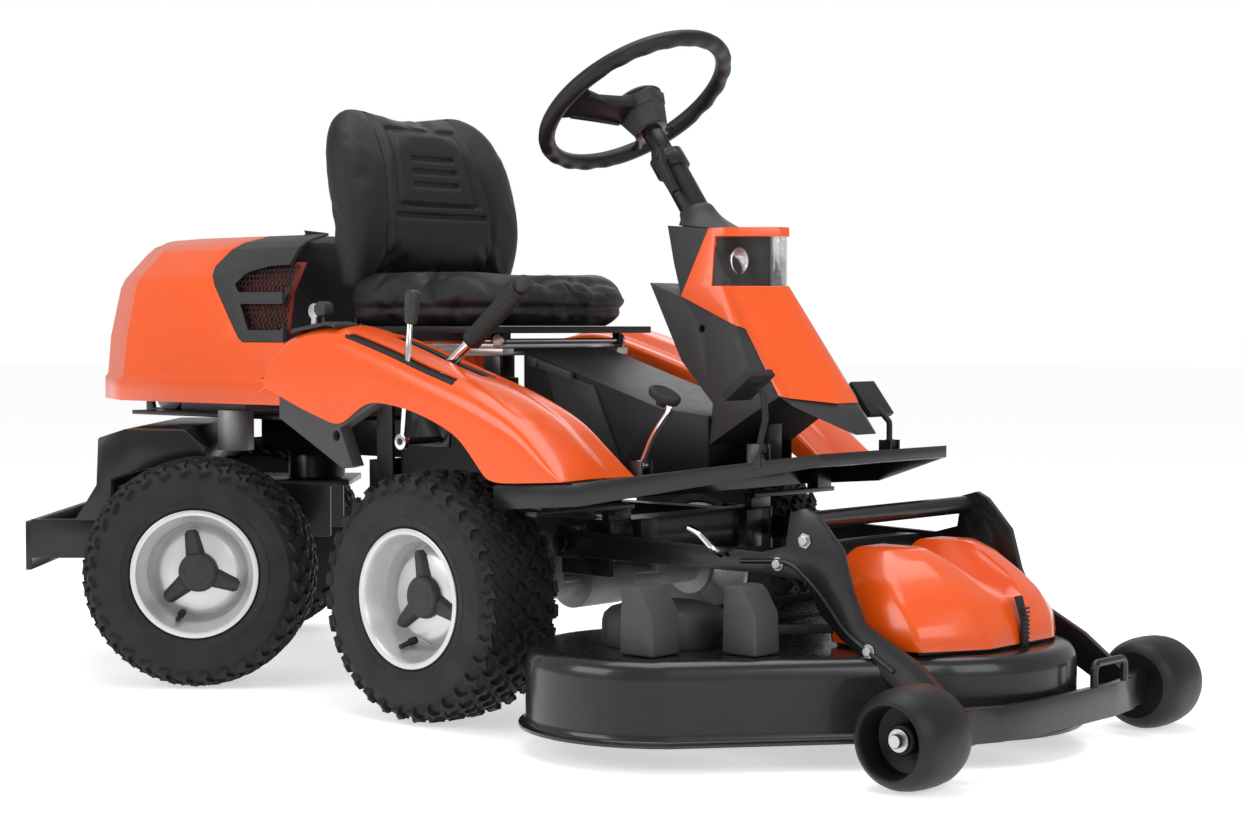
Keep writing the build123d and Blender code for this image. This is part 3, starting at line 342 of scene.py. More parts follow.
def sharpened(node, material, body, width=1.5, segments=2, name=None):
    bm = newMesh()
    bm.from_mesh(nodes[node].data)
    bmesh.ops.remove_doubles(bm, verts=bm.verts, dist=0.00001)
    bmesh.ops.dissolve_limit(bm, angle_limit=math.radians(1.5), verts=bm.verts, edges=bm.edges)
    obj = rawPiece(name or node + "Worn", bm, Matrix.Identity(4), False)
    modifier(obj, "BEVEL", width=width / 1000, segments=segments, limit_method="ANGLE", angle_limit=math.radians(40),
             harden_normals=False, use_clamp_overlap=True)
    modifier(obj, "TRIANGULATE")
    settled(obj)
    return dress(obj, material, body, (node,), 40)


def half(points):
    return list(points) + [(x, -y) for x, y in reversed(points)]


# Wheels

wheelSet = {"frontX": 0, "rearX": -884, "halfTrack": 369.5, "axleZ": 203.5}
tyreLook = {"lugRows": 32, "lugSize": 12.5, "lugTop": 203.2, "lugHeight": 8.6, "lugColumns": (-48, -24, 0, 24, 48),
            "shoulderY": 71, "shoulderZ": 184.5, "shoulderLug": 11.5, "lugSlant": 38}


def lugIn(bm, place, size, height):
    s = size
    lug = [(-s, -s), (-0.35 * s, -s), (-0.35 * s, -0.3 * s), (0.35 * s, -0.3 * s), (0.35 * s, -s), (s, -s),
           (s, s), (0.35 * s, s), (0.35 * s, 0.3 * s), (-0.35 * s, 0.3 * s), (-0.35 * s, s), (-s, s)]
    low = faceFrom(bm, [(x, y, 0) for x, y in lug])
    top = pushFace(bm, low, (0, 0, height))
    bmesh.ops.scale(bm, vec=(0.84, 0.84, 1), verts=top)
    bmesh.ops.transform(bm, matrix=place, verts=list(low.verts) + top)


def tyreMesh():
    bm = newMesh()
    nearHalf = [(102, 69), (114, 70.5), (118, 75), (128, 78.5), (129.5, 80), (133, 80.4), (134.5, 79.6), (150, 81.6),
                (168, 80.6), (170, 79.2), (181, 76), (189, 69), (193.5, 56), (195.5, 36), (196.2, 0)]
    outer = nearHalf + [(r, -w) for r, w in reversed(nearHalf[:-1])]
    latheIn(bm, outer + [(104, -60), (118, -62), (150, -70), (180, -62), (188, 0), (180, 62), (150, 70), (118, 62),
                         (104, 60), (102, 69)], (0, 0, 0), (0, 1, 0), 96)
    rows = tyreLook["lugRows"]
    step = 2 * math.pi / rows
    for row in range(rows):
        for column, across in enumerate(tyreLook["lugColumns"]):
            angle = step * (row + 0.5 * (column % 2))
            sink = tyreLook["lugTop"] - tyreLook["lugHeight"] - (2.2 if abs(across) > 40 else 0.0)
            slant = math.radians(tyreLook["lugSlant"] if across >= 0 else -tyreLook["lugSlant"])
            place = (Matrix.Rotation(angle, 4, "Y") @ Matrix.Translation((0, across, sink))
                     @ Matrix.Rotation(slant, 4, "Z"))
            lugIn(bm, place, tyreLook["lugSize"] * (0.92 if across else 1), tyreLook["lugHeight"])
        for side in (-1, 1):
            angle = step * (row + 0.5)
            shoulder = Matrix.Translation((0, side * tyreLook["shoulderY"], tyreLook["shoulderZ"]))
            place = (Matrix.Rotation(angle, 4, "Y") @ shoulder @ Matrix.Rotation(math.radians(-side * 52), 4, "X")
                     @ Matrix.Rotation(math.radians(side * 20), 4, "Z"))
            lugIn(bm, place, tyreLook["shoulderLug"], 8.2)
    return bm


def rimMesh():
    bm = newMesh()
    latheIn(bm, [(113, 72), (113, 74.5), (111, 75.5), (104, 74), (100.5, 69), (99.5, 60), (91, 46), (89.5, 34),
                 (88.5, 8), (85, 3), (80, 8), (72, 27), (66, 31), (20, 31), (20, -20), (14.3, -20), (14.3, 27),
                 (64, 27), (70, 23), (82, -2), (88, -4), (89, -40), (99, -58), (100, -70), (105, -74.5), (113, -75),
                 (113, -71), (103.5, -70), (101.6, -56), (92, -44), (92, 44), (101.6, 56), (103.5, 70), (113, 72)],
            (0, 0, 0), (0, 1, 0), 80)
    return bm


def capMesh():
    bm = newMesh()
    latheIn(bm, [(0, 46), (20, 46), (22, 44.5), (24, 46), (30, 45.5), (34, 42), (36, 31.5), (0, 31.5)],
            (0, 0, 0), (0, 1, 0), 48)
    for turn in range(3):
        arm = newMesh()
        faceUp = faceFrom(arm, [(-19, 31.5, 24), (-13, 31.5, 70), (-8, 31.5, 76), (8, 31.5, 76), (13, 31.5, 70),
                                (19, 31.5, 24)])
        top = pushFace(arm, faceUp, (0, 8.5, 0))
        bmesh.ops.scale(arm, vec=(0.45, 1, 1), verts=top)
        around = Matrix.Rotation(math.radians(120 * turn + 10), 3, "Y")
        bmesh.ops.rotate(arm, cent=(0, 0, 0), matrix=around, verts=arm.verts)
        joinedIn(bm, arm)
    return bm


for place, axleX in (("front", wheelSet["frontX"]), ("rear", wheelSet["rearX"])):
    for hand, side in (("left", 1), ("right", -1)):
        body = f"wheel_{place}_{hand}"
        spot = (Matrix.Translation((axleX, side * wheelSet["halfTrack"], wheelSet["axleZ"]))
                @ Matrix.Rotation(0 if side > 0 else math.pi, 4, "Z"))
        if place == "rear":
            spot = turned @ spot
        piece(f"tyre{place.title()}{hand.title()}", tyreMesh(), "tyreRubber", body, (f"tyre_{place}_{hand}",), sharp=28,
              place=toPlace @ spot)
        piece(f"rim{place.title()}{hand.title()}", rimMesh(), "silverRim", body, (f"rim_{place}_{hand}",), sharp=40,
              place=toPlace @ spot)
        piece(f"hubCap{place.title()}{hand.title()}", capMesh(), "darkPanel", body, bevel=1.2, sharp=35,
              place=toPlace @ spot)
        stem = newMesh()
        rodIn(stem, (30, 30, -74), (33, 58, -82), 4.2)
        rodIn(stem, (29.5, 26, -73), (31, 38, -76), 6.5)
        piece(f"valve{place.title()}{hand.title()}", stem, "gripRubber", body, bevel=0.8, place=toPlace @ spot)
print("wheels made")


# Steering wheel and column

wheelLook = {"centre": (100, 0, 1022), "tilt": 35.0, "ring": 166.5, "grip": 14.5, "spokes": (-95, 125)}
tilt = math.radians(wheelLook["tilt"])
columnUp = Vector((-math.sin(tilt), 0, math.cos(tilt)))
wheelCentre = Vector(wheelLook["centre"])
wheelSpot = Matrix.Translation(wheelCentre) @ Matrix.Rotation(-tilt, 4, "Y")


def onColumn(depth):
    return wheelCentre - columnUp * depth


ring = newMesh()
section = [(wheelLook["ring"] + wheelLook["grip"] * math.cos(math.radians(a)) * (0.92 if 90 < a < 270 else 1),
            wheelLook["grip"] * math.sin(math.radians(a))) for a in range(0, 361, 20)]
latheIn(ring, section, (0, 0, 0), (0, 0, 1), 120)
for vert in ring.verts:   # finger grips pressed into the underside, away from the spokes
    turn = math.degrees(math.atan2(vert.co.y, vert.co.x))
    away = min(abs((turn - s + 180) % 360 - 180) for s in wheelLook["spokes"])
    if vert.co.z < -2 and away > 24:
        inward = Vector((-vert.co.x, -vert.co.y, 0)).normalized()
        wave = 0.5 + 0.5 * math.cos(math.radians(turn * 24))
        vert.co += (inward * 0.3 + Vector((0, 0, 1))) * 2.4 * wave * min(1, (away - 24) / 8)
piece("steeringRing", ring, "blackPlastic", "steering_wheel", ("steering_wheel",), sharp=70, place=toPlace @ wheelSpot)

spokes = newMesh()
for angle in wheelLook["spokes"]:
    arm = newMesh()
    loftIn(arm, [[(r, -w, z - t), (r, w, z - t), (r, w, z), (r, w * 0.35, z + 2.5), (r, -w * 0.35, z + 2.5), (r, -w, z)]
                 for r, w, z, t in ((34, 30, -8, 20), (64, 27, -9, 16), (112, 27, -7, 12), (138, 33, -2, 9),
                                    (156, 45, 3, 7))])
    for side in (-1, 1):   # raised ribs along both edges of the underside
        loftIn(arm, [[(r, side * w - 4, z), (r, side * w + 4, z), (r, side * w + 4, z - t), (r, side * w - 4, z - t)]
                     for r, w, z, t in ((38, 24, -20, 12), (90, 21, -18, 9), (140, 27, -9, 6))])
    bmesh.ops.rotate(arm, cent=(0, 0, 0), matrix=Matrix.Rotation(math.radians(angle), 3, "Z"), verts=arm.verts)
    joinedIn(spokes, arm)
piece("steeringSpokes", spokes, "blackPlastic", "steering_wheel", bevel=2.2, segments=3, place=toPlace @ wheelSpot)

hub = newMesh()
hubTurn = Matrix.Rotation(math.radians(15), 4, "Z")
for low, high, depth, z in ((44, 52, 24, -16), (31, 43, 36, -44)):
    bmesh.ops.create_cone(hub, cap_ends=True, segments=6, radius1=low, radius2=high, depth=depth,
                          matrix=Matrix.Translation((0, 0, z)) @ hubTurn)
bmesh.ops.create_cone(hub, cap_ends=True, segments=32, radius1=49, radius2=38, depth=10,
                      matrix=Matrix.Translation((0, 0, 1)))
piece("steeringHub", hub, "darkPanel", "steering_wheel", bevel=4, segments=3, place=toPlace @ wheelSpot)

upper = newMesh()
rodIn(upper, onColumn(264), onColumn(20), 18, segments=40)
rodIn(upper, onColumn(64), onColumn(22), 27, segments=40)
piece("columnUpper", upper, "blackSteel", "column", ("column_upper",), bevel=1)
lowerTube = newMesh()
rodIn(lowerTube, onColumn(304), onColumn(118), 24, segments=40)
rodIn(lowerTube, onColumn(150), onColumn(119), 29, segments=40)
piece("columnSleeve", lowerTube, "blackPlastic", "chassis", bevel=2)
clamp = newMesh()
pinAt = onColumn(133) + Vector((14, 0, 10))
sideSlab(clamp, [(pinAt.x - 12, pinAt.z + 10), (pinAt.x - 11, pinAt.z - 12), (pinAt.x + 30, pinAt.z - 64),
                 (pinAt.x + 44, pinAt.z - 58), (pinAt.x + 16, pinAt.z - 12), (pinAt.x + 8, pinAt.z + 14)], -52, -42)
rodIn(clamp, (pinAt.x, -46, pinAt.z), (pinAt.x, -40.4, pinAt.z), 8)
rodIn(clamp, (pinAt.x, -54, pinAt.z), (pinAt.x, -51, pinAt.z), 6, segments=6)
piece("clampLever", clamp, "blackPlastic", "clamp_lever", ("column_clamp_lever",), bevel=2, segments=3)
print("steering made")


# Console, lamps and boot

consoleLook = {"coverProud": 3.0, "screw": (318, 636), "lowScrew": (498, 482), "lampY": 37, "lampZ": 746}
consoleLayers = [(430, half([(606, 40), (560, 112), (400, 112), (190, 112)])),
                 (525, half([(546, 12), (494, 88), (440, 100), (190, 100)])),
                 (704, half([(419, 6), (366, 66), (350, 80), (190, 80)])),
                 (810, half([(419, 6), (366, 60), (345, 70), (190, 62)]))]


def envelope(name, proud=0.0):
    bm = newMesh()
    loftIn(bm, [[(x + (proud if x > 300 else 0), y + math.copysign(proud, y), z) for x, y in plan]
                for z, plan in consoleLayers])
    bmesh.ops.recalc_face_normals(bm, faces=bm.faces)
    upright = lambda e: abs(edgeRun(e).z) > 0.55
    roundEdges(bm, 3.5, 3, 12, lambda e: upright(e) and abs(e.verts[0].co.y) < 50)
    roundEdges(bm, 7, 4, 12, lambda e: upright(e) and abs(e.verts[0].co.y) > 50)
    return rawPiece(name, bm)


shellBody = newMesh()
sideSlab(shellBody, [(226, 806), (200, 712), (280, 584), (352, 516), (352, 450), (596, 461), (556, 508), (545, 517),
                     (478, 529), (403, 634), (270, 688), (319, 798)], -200, 200)
shellObject = cutWith(rawPiece("consoleShell", shellBody), envelope("shellRoom"), "INTERSECT")
holes = newMesh()
for side in (-1, 1):
    for (x, z), depth, radius in ((consoleLook["screw"], 70, 6.5), (consoleLook["lowScrew"], 80, 5)):
        rodIn(holes, (x, side * depth, z), (x, side * 140, z), radius)
cutWith(shellObject, rawPiece("screwHoles", holes))
bevelled(shellObject, 3, 3, 38)
dress(settled(shellObject), "darkPanel", "chassis", ("console_shell",))

coverBody = newMesh()
sideSlab(coverBody, [(320, 799), (271.4, 689.4), (403.5, 635.3), (478.5, 530.3), (545, 518.4), (497, 612), (427, 700),
                     (424, 770), (418, 800)], -200, 200)
coverObject = cutWith(rawPiece("consoleCover", coverBody), envelope("coverRoom", consoleLook["coverProud"]),
                      "INTERSECT")
recess = newMesh()
blockIn(recess, (334, 500), (-160, 160), (705, 785))
cutWith(coverObject, rawPiece("lampRecess", recess))
bevelled(coverObject, 5.5, 4, 24)
dress(settled(coverObject), "orangePanel", "chassis", ("console_cover",), 30)

lens = newMesh()
wrap = [(338, -77), (352, -77), (364, -69), (398, -34), (409, -8), (409, 8), (398, 34), (364, 69), (352, 77), (338, 77)]
gridIn(lens, [[(x, y, z) for x, y in wrap] for z in (706, 784)])
piece("lampWindow", lens, "lampGlass", "chassis", ("lamp_lens",), thick=2.0, bevel=0.4, sharp=50)

def lampMesh(profile):
    bm = newMesh()
    for side in (-1, 1):
        latheIn(bm, profile, (0, side * consoleLook["lampY"], consoleLook["lampZ"]), (1, 0, 0), 40)
    return bm


lamps = lampMesh([(0, 340), (7, 341), (14, 346), (18, 354), (20.5, 356), (21.5, 355), (20, 344), (12, 334), (0, 333)])
piece("lampBowls", lamps, "lampChrome", "chassis", ("lamp_units",), sharp=50)
piece("lampDiscs", lampMesh([(0, 360.5), (9, 360), (17, 357.5), (19, 355.5)]), "lampGlass", "chassis", sharp=60)
houseBack = newMesh()
blockIn(houseBack, (334.4, 338), (-70, 70), (705.5, 784.5))
planSlab(houseBack, half([(394, 2.5), (336, 11)]), 705.5, 784.5)
piece("lampHousing", houseBack, "darkPanel", "chassis", bevel=2, segments=3)

boot = newMesh()
bootTurns = [(math.cos(math.radians(a)), math.sin(math.radians(a))) for a in range(0, 360, 30)]
loftIn(boot, [[(x0 + rx * c, ry * s, z0 + sl * c) for c, s in bootTurns]
              for x0, z0, rx, ry, sl in ((272, 801, 64, 60, -6), (262, 806, 54, 52, -4), (246, 818, 36, 38, 2),
                                         (236, 830, 30, 31, 8), (230, 840, 27, 28, 12))])
piece("columnBoot", boot, "darkPanel", "chassis", subdivide=2, sharp=60)
print("console made")


# Seat

seatLook = {"middleX": -225, "panTop": 0.6405, "dish": 0.016, "grooveWidth": 0.0055, "grooveDepth": 0.0075}


def puffed(obj, cap, pressure, voxel=0.006):
    modifier(obj, "SUBSURF", levels=2, render_levels=2)
    modifier(obj, "REMESH", mode="VOXEL", voxel_size=voxel)
    settled(obj)
    start = [v.co.copy() for v in obj.data.vertices]
    cloth = modifier(obj, "CLOTH")
    cloth.settings.use_pressure = True
    cloth.settings.uniform_pressure_force = pressure
    cloth.settings.effector_weights.gravity = 0
    cloth.settings.quality = 4
    cloth.point_cache.frame_start, cloth.point_cache.frame_end = 1, 20
    for step in range(1, 21):
        bpy.context.scene.frame_set(step)
    settled(obj)
    bpy.context.scene.frame_set(1)
    for vert, place in zip(obj.data.vertices, start):
        move = vert.co - place
        if move.length > cap:
            vert.co = place + move * (cap / move.length)
    modifier(obj, "SMOOTH", factor=0.5, iterations=6)
    modifier(obj, "SUBSURF", levels=1, render_levels=1)
    return settled(obj)


def creased(obj, grooves, width=0.007, depth=0.006):
    for vert in obj.data.vertices:
        sink = 0.0
        for gap, inward in grooves(vert.co):
            if abs(gap) < 3 * width:
                sink = max(sink, depth * math.exp(-(gap / width) ** 2))
                vert.co += inward * sink
                break
    return obj


cushion = newMesh()
plan = half([(-14, 84), (-40, 150), (-96, 196), (-170, 217), (-300, 219), (-414, 214), (-436, 180)])
loops = []
for z, factor in ((643, 0.93), (652, 0.985), (676, 1.0), (698, 0.985), (713, 0.94), (722, 0.84)):
    upper = z > 690   # the top rises at its sides and falls to its front
    loops.append([(seatLook["middleX"] + (x - seatLook["middleX"]) * factor, y * factor,
                   z + (10 * (abs(y) / 219) ** 2 if upper else 0) - (9 * max(0.0, (x + 110) / 110) if upper else 0))
                  for x, y in plan])
loftIn(cushion, loops)
bmesh.ops.triangulate(cushion, faces=[f for f in cushion.faces if len(f.verts) > 4])
cushionObject = puffed(rawPiece("seatCushion", cushion), 0.022, 3.2)


def cushionGrooves(co):
    x, y = (co.x - datum.x) * 1000, (co.y - datum.y) * 1000
    if co.z < 0.69:
        return [((co.z - 0.672), Vector((-(x + 225), -y, 0)).normalized())]
    welt = max(abs(y) - 168, (x + 62) * 0.9)
    return [(welt / 1000, Vector((0, 0, -1)))]


creased(cushionObject, cushionGrooves)
for vert in cushionObject.data.vertices:   # sat flat on its pan, dished where the driver sits
    vert.co.z = max(vert.co.z, seatLook["panTop"])
    x, y = (vert.co.x - datum.x) * 1000, (vert.co.y - datum.y) * 1000
    if vert.co.z > 0.70:
        vert.co.z -= seatLook["dish"] * math.exp(-((x + 235) / 130) ** 2 - (y / 120) ** 2)
        vert.co.z = min(vert.co.z, 0.7285 + 0.012 * min(1.0, max(0.0, (abs(y) - 120) / 80)))
dress(cushionObject, "seatVinyl", "seat", ("seat_cushion",), 60)

back = newMesh()
profile = [(-404, -448, 702, 205), (-398, -458, 730, 214), (-384, -468, 800, 222), (-398, -478, 880, 224),
           (-418, -490, 960, 216), (-438, -497, 1010, 196), (-456, -499, 1034, 168), (-472, -492, 1043, 140)]
loops = []
for front, rear, z, wide in profile:
    ahead = min(30, (1046 - z) * 0.35)
    plan = ((front + ahead * 0.75, 0.96), (front + ahead * 0.55, 0.80), (front, 0.60), (front - 5, 0), (front, -0.60),
            (front + ahead * 0.55, -0.80), (front + ahead * 0.75, -0.96), ((front + rear) / 2, -1), (rear + 6, -0.93),
            (rear - 2, -0.5), (rear - 4, 0), (rear - 2, 0.5), (rear + 6, 0.93), ((front + rear) / 2, 1))
    loops.append([(x, wide * share, z) for x, share in plan])
loftIn(back, loops)
bmesh.ops.triangulate(back, faces=[f for f in back.faces if len(f.verts) > 4])
backObject = puffed(rawPiece("seatBack", back), 0.02, 2.6)


def backGrooves(co):
    x, y, z = (co.x - datum.x) * 1000, abs((co.y - datum.y) * 1000), co.z * 1000
    if x < -452 - max(0.0, (z - 900) * 0.13):
        return []
    edge = 132 - max(0.0, (z - 860) * 0.16)
    lines = [((y - edge) / 1000, Vector((-1, 0, 0)))]
    if y < edge:
        lines.append(((z - 842) / 1000, Vector((-1, 0, 0))))
        inner = 100 - (z - 860) * 0.12
        if z > 856:
            lines.append((max(y - inner, 862 - z, z - 1000) / 1000, Vector((-1, 0, 0))))
            if y < inner * 0.62:
                lines += [((z - line) / 1000, Vector((-1, 0, 0))) for line in (900, 924, 948)]
    return lines


creased(backObject, backGrooves, seatLook["grooveWidth"], seatLook["grooveDepth"])
dress(backObject, "seatVinyl", "seat", ("seat_back",), 60)
brackets = newMesh()
for side in (-1, 1):
    barIn(brackets, [(-452, side * 140, 770), (-452, side * 140, 640), (-432, side * 140, 632)], 7, 8)
piece("seatBrackets", brackets, "blackSteel", "seat")
print("seat made")


# Hood

hoodLook = {"gap": 1.4, "wing": 70, "cell": 11.0, "cellWall": 1.1, "screenFront": -496}
hoodRows = ((499, -548, 294, 302, -944, -1085, 234, -1178, 111), (542, -550, 292, 300, -944, -1086, 233, -1180, 111),
            (549, -552, 287, 295, -943, -1082, 229, -1176, 109), (620, -563, 281, 288, -940, -1082, 222, -1180, 107),
            (716, -582, 266, 271, -932, -1068, 207, -1168, 101), (734, -586, 259, 263, -930, -1062, 200, -1160, 98),
            (784, -602, 210, 212, -925, -1050, 154, -1146, 82), (797, -610, 182, 186, -924, -1046, 138, -1136, 74),
            (811, -625, 122, 128, -924, -1034, 98, -1112, 58))
hoodLayers = [(z, half([(x, y - 20), (x + hoodLook["wing"], y - 12), (x + hoodLook["wing"], y), (-760, wide),
                        (rear, wide), (cornerX, cornerY), (tailX, tailY)]))
              for z, x, y, wide, rear, cornerX, cornerY, tailX, tailY in hoodRows]
shell = newMesh()
loftIn(shell, [[(x, y, z) for x, y in plan] for z, plan in hoodLayers])
bmesh.ops.recalc_face_normals(shell, faces=shell.faces)
roundEdges(shell, 6, 4, 14, lambda e: min(v.co.z for v in e.verts) > 500)
bmesh.ops.delete(shell, geom=[f for f in shell.faces if max(v.co.z for v in f.verts) < 502], context="FACES_ONLY")
hoodSolid = rawPiece("hoodSolid", shell)
modifier(hoodSolid, "SOLIDIFY", thickness=0.003, offset=-1.0, use_even_offset=True)
settled(hoodSolid)
split = [(-300, 610), (-600, 611), (-614, 619), (-722, 743), (-727, 753), (-716, 790), (-702, 840), (-300, 840)]


def frameRoom(name, gap):
    room = newMesh()
    sideSlab(room, [(x + gap if x < -510 else x, z + (gap if z < 612 else 0)) for x, z in split], -340, 340)
    return rawPiece(name, room)


orangeHood = bpy.data.objects.new("hoodShell", hoodSolid.data.copy())
bpy.context.scene.collection.objects.link(orangeHood)
cutWith(orangeHood, frameRoom("orangeRoom", 0.0))
bevelled(orangeHood, 1.2, 2, 50)
dress(settled(orangeHood), "orangePanel", "hood", ("hood_shell",), 32)
cutWith(hoodSolid, frameRoom("greyRoom", hoodLook["gap"]), "INTERSECT")
windowOutlines = ([(-630, 702), (-500, 702), (-506, 752), (-567, 750), (-617, 740), (-642, 718)],
                  [(-590, 633), (-498, 633), (-499, 680), (-620, 681)])
windows = newMesh()
for outline in windowOutlines:
    for side in (-1, 1):
        sideSlab(windows, outline, side * 222, side * 340)
roundEdges(windows, 4, 3, 20, lambda e: abs(edgeRun(e).y) > 0.9)
cutWith(hoodSolid, rawPiece("hoodWindows", windows))
bevelled(hoodSolid, 1.8, 3, 50)
hoodSolid.name = "hoodFrame"
dress(settled(hoodSolid), "darkPanel", "hood", ("hood_frame",), 32)


def hoodSide(z):
    low = max((row for row in hoodLayers if row[0] <= z), key=lambda row: row[0])
    high = min((row for row in hoodLayers if row[0] > z), key=lambda row: row[0])
    share = (z - low[0]) / (high[0] - low[0])
    return low[1][2][1] * (1 - share) + high[1][2][1] * share


mesh = newMesh()
cell = hoodLook["cell"]
for row in range(16):
    for column in range(19):
        cx = -690 + cell * (column + 0.5 * (row % 2))
        cz = 622 + cell * 0.866 * row
        if cx > hoodLook["screenFront"] or cz > 752:
            continue
        corners = [(cx + cell / 1.74 * math.cos(math.radians(a)), cz + cell / 1.74 * math.sin(math.radians(a)))
                   for a in range(30, 390, 60)]
        faceFrom(mesh, [(x, 1, z) for x, z in corners])
bmesh.ops.remove_doubles(mesh, verts=mesh.verts, dist=0.6)
cells = mesh.faces[:]
bmesh.ops.inset_individual(mesh, faces=cells, thickness=hoodLook["cellWall"], use_even_offset=True)
bmesh.ops.delete(mesh, geom=cells, context="FACES_ONLY")
for vert in mesh.verts:
    vert.co.y = hoodSide(vert.co.z) - 6
mirroredIn(mesh)
piece("intakeScreens", mesh, "blackPlastic", "hood", ("intake_screens",), thick=2.2, offset=0.0, fixNormals=False,
      sharp=40)
# painted glow: a dark red sheet behind each intake screen stands in for the reddish light seen through them
glow = newMesh()
for side in (-1, 1):
    gridIn(glow, [[(x, side * (hoodSide(z) - 16), z) for x in (-700, -494)] for z in (612, 700, 756)])
piece("intakeBacking", glow, "paintedGlowRed", "hood", thick=1.5)
print("hood made")


# Fenders, slot strips and trims

fenderLook = {"wall": 0.0026, "trimHole": (-200, 458)}
fenderTop = [(-394, 556), (-388, 578), (-372, 604), (-348, 620), (-320, 630), (-280, 638), (-236, 642), (-190, 636),
             (-140, 622), (-70, 602), (-5, 580), (80, 556), (136, 536), (182, 514), (220, 492), (252, 464), (288, 434),
             (316, 404)]
fenderBottom = [(-345, 523), (-340, 521), (-320, 514), (-290, 503), (-260, 494), (-230, 485), (-190, 473), (-160, 492),
                (-120, 519), (-60, 512), (-5, 503), (78, 473), (104, 452), (128, 427), (142, 412), (160, 394),
                (230, 398), (316, 403)]


def fenderSection(index, side):
    x, top = fenderTop[index]
    drop = 1.0 if x < 150 else max(0.35, 1.0 - (x - 150) / 260)
    low = min(fenderBottom[index][1], top - 1)
    inside = max(low, top - 54)
    dips = ((414, 34), (409, 19), (398, 9), (380, 3), (352, 0), (326, 0), (314, 4), (306, 13), (294, 15), (268, 13),
            (258, 15), (253, 22))
    body = ([(415, low), (415, low + (top - low) * 0.5)] + [(y, top - dip * drop) for y, dip in dips]
            + [(252, inside)])
    lowX = fenderBottom[index][0]
    return [(x + (lowX - x) * (1 if z <= low + 0.5 and y > 400 else 0), side * y, max(z, low if y > 400 else inside))
            for y, z in body]


slotCuts = (((-135, 75), (-346, -314)), ((-186, 66), (-403, -389)), ((-294, -240), (-389, -371)))
for hand, side in (("right", -1), ("left", 1)):
    skin = newMesh()
    gridIn(skin, [fenderSection(i, side) for i in range(len(fenderTop))])
    fender = rawPiece(f"{hand}Fender", skin)
    modifier(fender, "SUBSURF", levels=2, render_levels=2)
    modifier(fender, "SOLIDIFY", thickness=fenderLook["wall"], offset=-1.0, use_even_offset=True)
    settled(fender)
    if side < 0:
        cuts = newMesh()
        for alongX, acrossY in slotCuts:
            blockIn(cuts, alongX, acrossY, (420, 720))
        roundEdges(cuts, 6, 4, 30, lambda e: abs(edgeRun(e).z) > 0.9)
        cutWith(fender, rawPiece("fenderSlots", cuts))
    dress(fender, "orangePanel", "chassis", (f"{hand}_fender",), 45)

strips = newMesh()
for x0, x1, y, wide in ((-186, 66, -396, 14.5), (-135, 75, -330, 22.0), (-294, -240, -380, 15)):
    for edge in (-1, 1):   # black brush strips that line each slot
        steps = [x0 + (x1 - x0) * k / 12 for k in range(13)]
        tops = []
        for x in steps:
            for (ax, az), (bx, bz) in zip(fenderTop, fenderTop[1:]):
                if ax <= x <= bx:
                    tops.append(az + (bz - az) * (x - ax) / (bx - ax))
                    break
        fall = 9 if y < -390 else (3 if y < -370 else 0)
        near, far = y + edge * wide * 0.16, y + edge * (wide * 0.5 + 3)
        loftIn(strips, [[(x, near, z - fall - 0.2), (x, far, z - fall + 1.2), (x, far, z - fall - 5),
                         (x, near, z - fall - 4)] for x, z in zip(steps, tops)])
piece("slotStrips", strips, "blackPlastic", "chassis", bevel=0.6)

trims = newMesh()
trimOutline = [(-191, 471), (-345, 521), (-393, 553), (-345, 484), (-184, 404), (-160, 409), (-99, 515), (-120, 517.5)]
for side in (-1, 1):
    sideSlab(trims, trimOutline, side * 388, side * 414.2)
trimObject = rawPiece("fenderTrims", trims)
trimHole = newMesh()
for side in (-1, 1):
    holeX, holeZ = fenderLook["trimHole"]
    rodIn(trimHole, (holeX, side * 380, holeZ), (holeX, side * 420, holeZ), 9, segments=32)
cutWith(trimObject, rawPiece("trimHole", trimHole))
bevelled(trimObject, 4, 3, 40)
dress(settled(trimObject), "greyTrim", "chassis", ("fender_trims",))
print("fenders made")


# Deck

deckLook = {"drum": 212, "hat": (436, 318)}
deckDrums = ((436, -318, range(-232, -44, 8)), (716, 0, range(-60, 61, 8)), (436, 318, range(44, 233, 8)))
rollerLook = {"x": 900, "y": 338.4, "z": 72.7}


def deckLoop(grow, z):
    radius = deckLook["drum"] + grow
    loop = []
    for cx, cy, angles in deckDrums:
        loop += [(cx + radius * math.cos(math.radians(a)), cy + radius * math.sin(math.radians(a)), z) for a in angles]
    return loop


deck = newMesh()
levels = ((11, 38), (11.5, 40), (11, 43), (5, 44.5), (1.5, 48), (0, 56), (0, 132), (-1.5, 142), (-5, 150),
          (-11, 156.5), (-20, 159.6), (-30, 160))
loftIn(deck, [deckLoop(grow, z) for grow, z in levels], capEnds=False)
rings = [e for e in deck.edges if e.is_boundary and min(v.co.z for v in e.verts) > 150]
bmesh.ops.contextual_create(deck, geom=rings)
bmesh.ops.triangulate(deck, faces=[f for f in deck.faces if len(f.verts) > 4])
piece("deckShell", deck, "deckPaint", "deck", ("deck_shell",), thick=3.0, offset=-1.0, sharp=50)

seam = newMesh()
for cx, cy, _ in deckDrums:
    latheIn(seam, [(40, 159), (66, 160.6), (70, 164), (66, 165), (40, 165), (40, 159)], (cx, cy, 0), (0, 0, 1), 64)
piece("deckPlates", seam, "deckPaint", "deck")

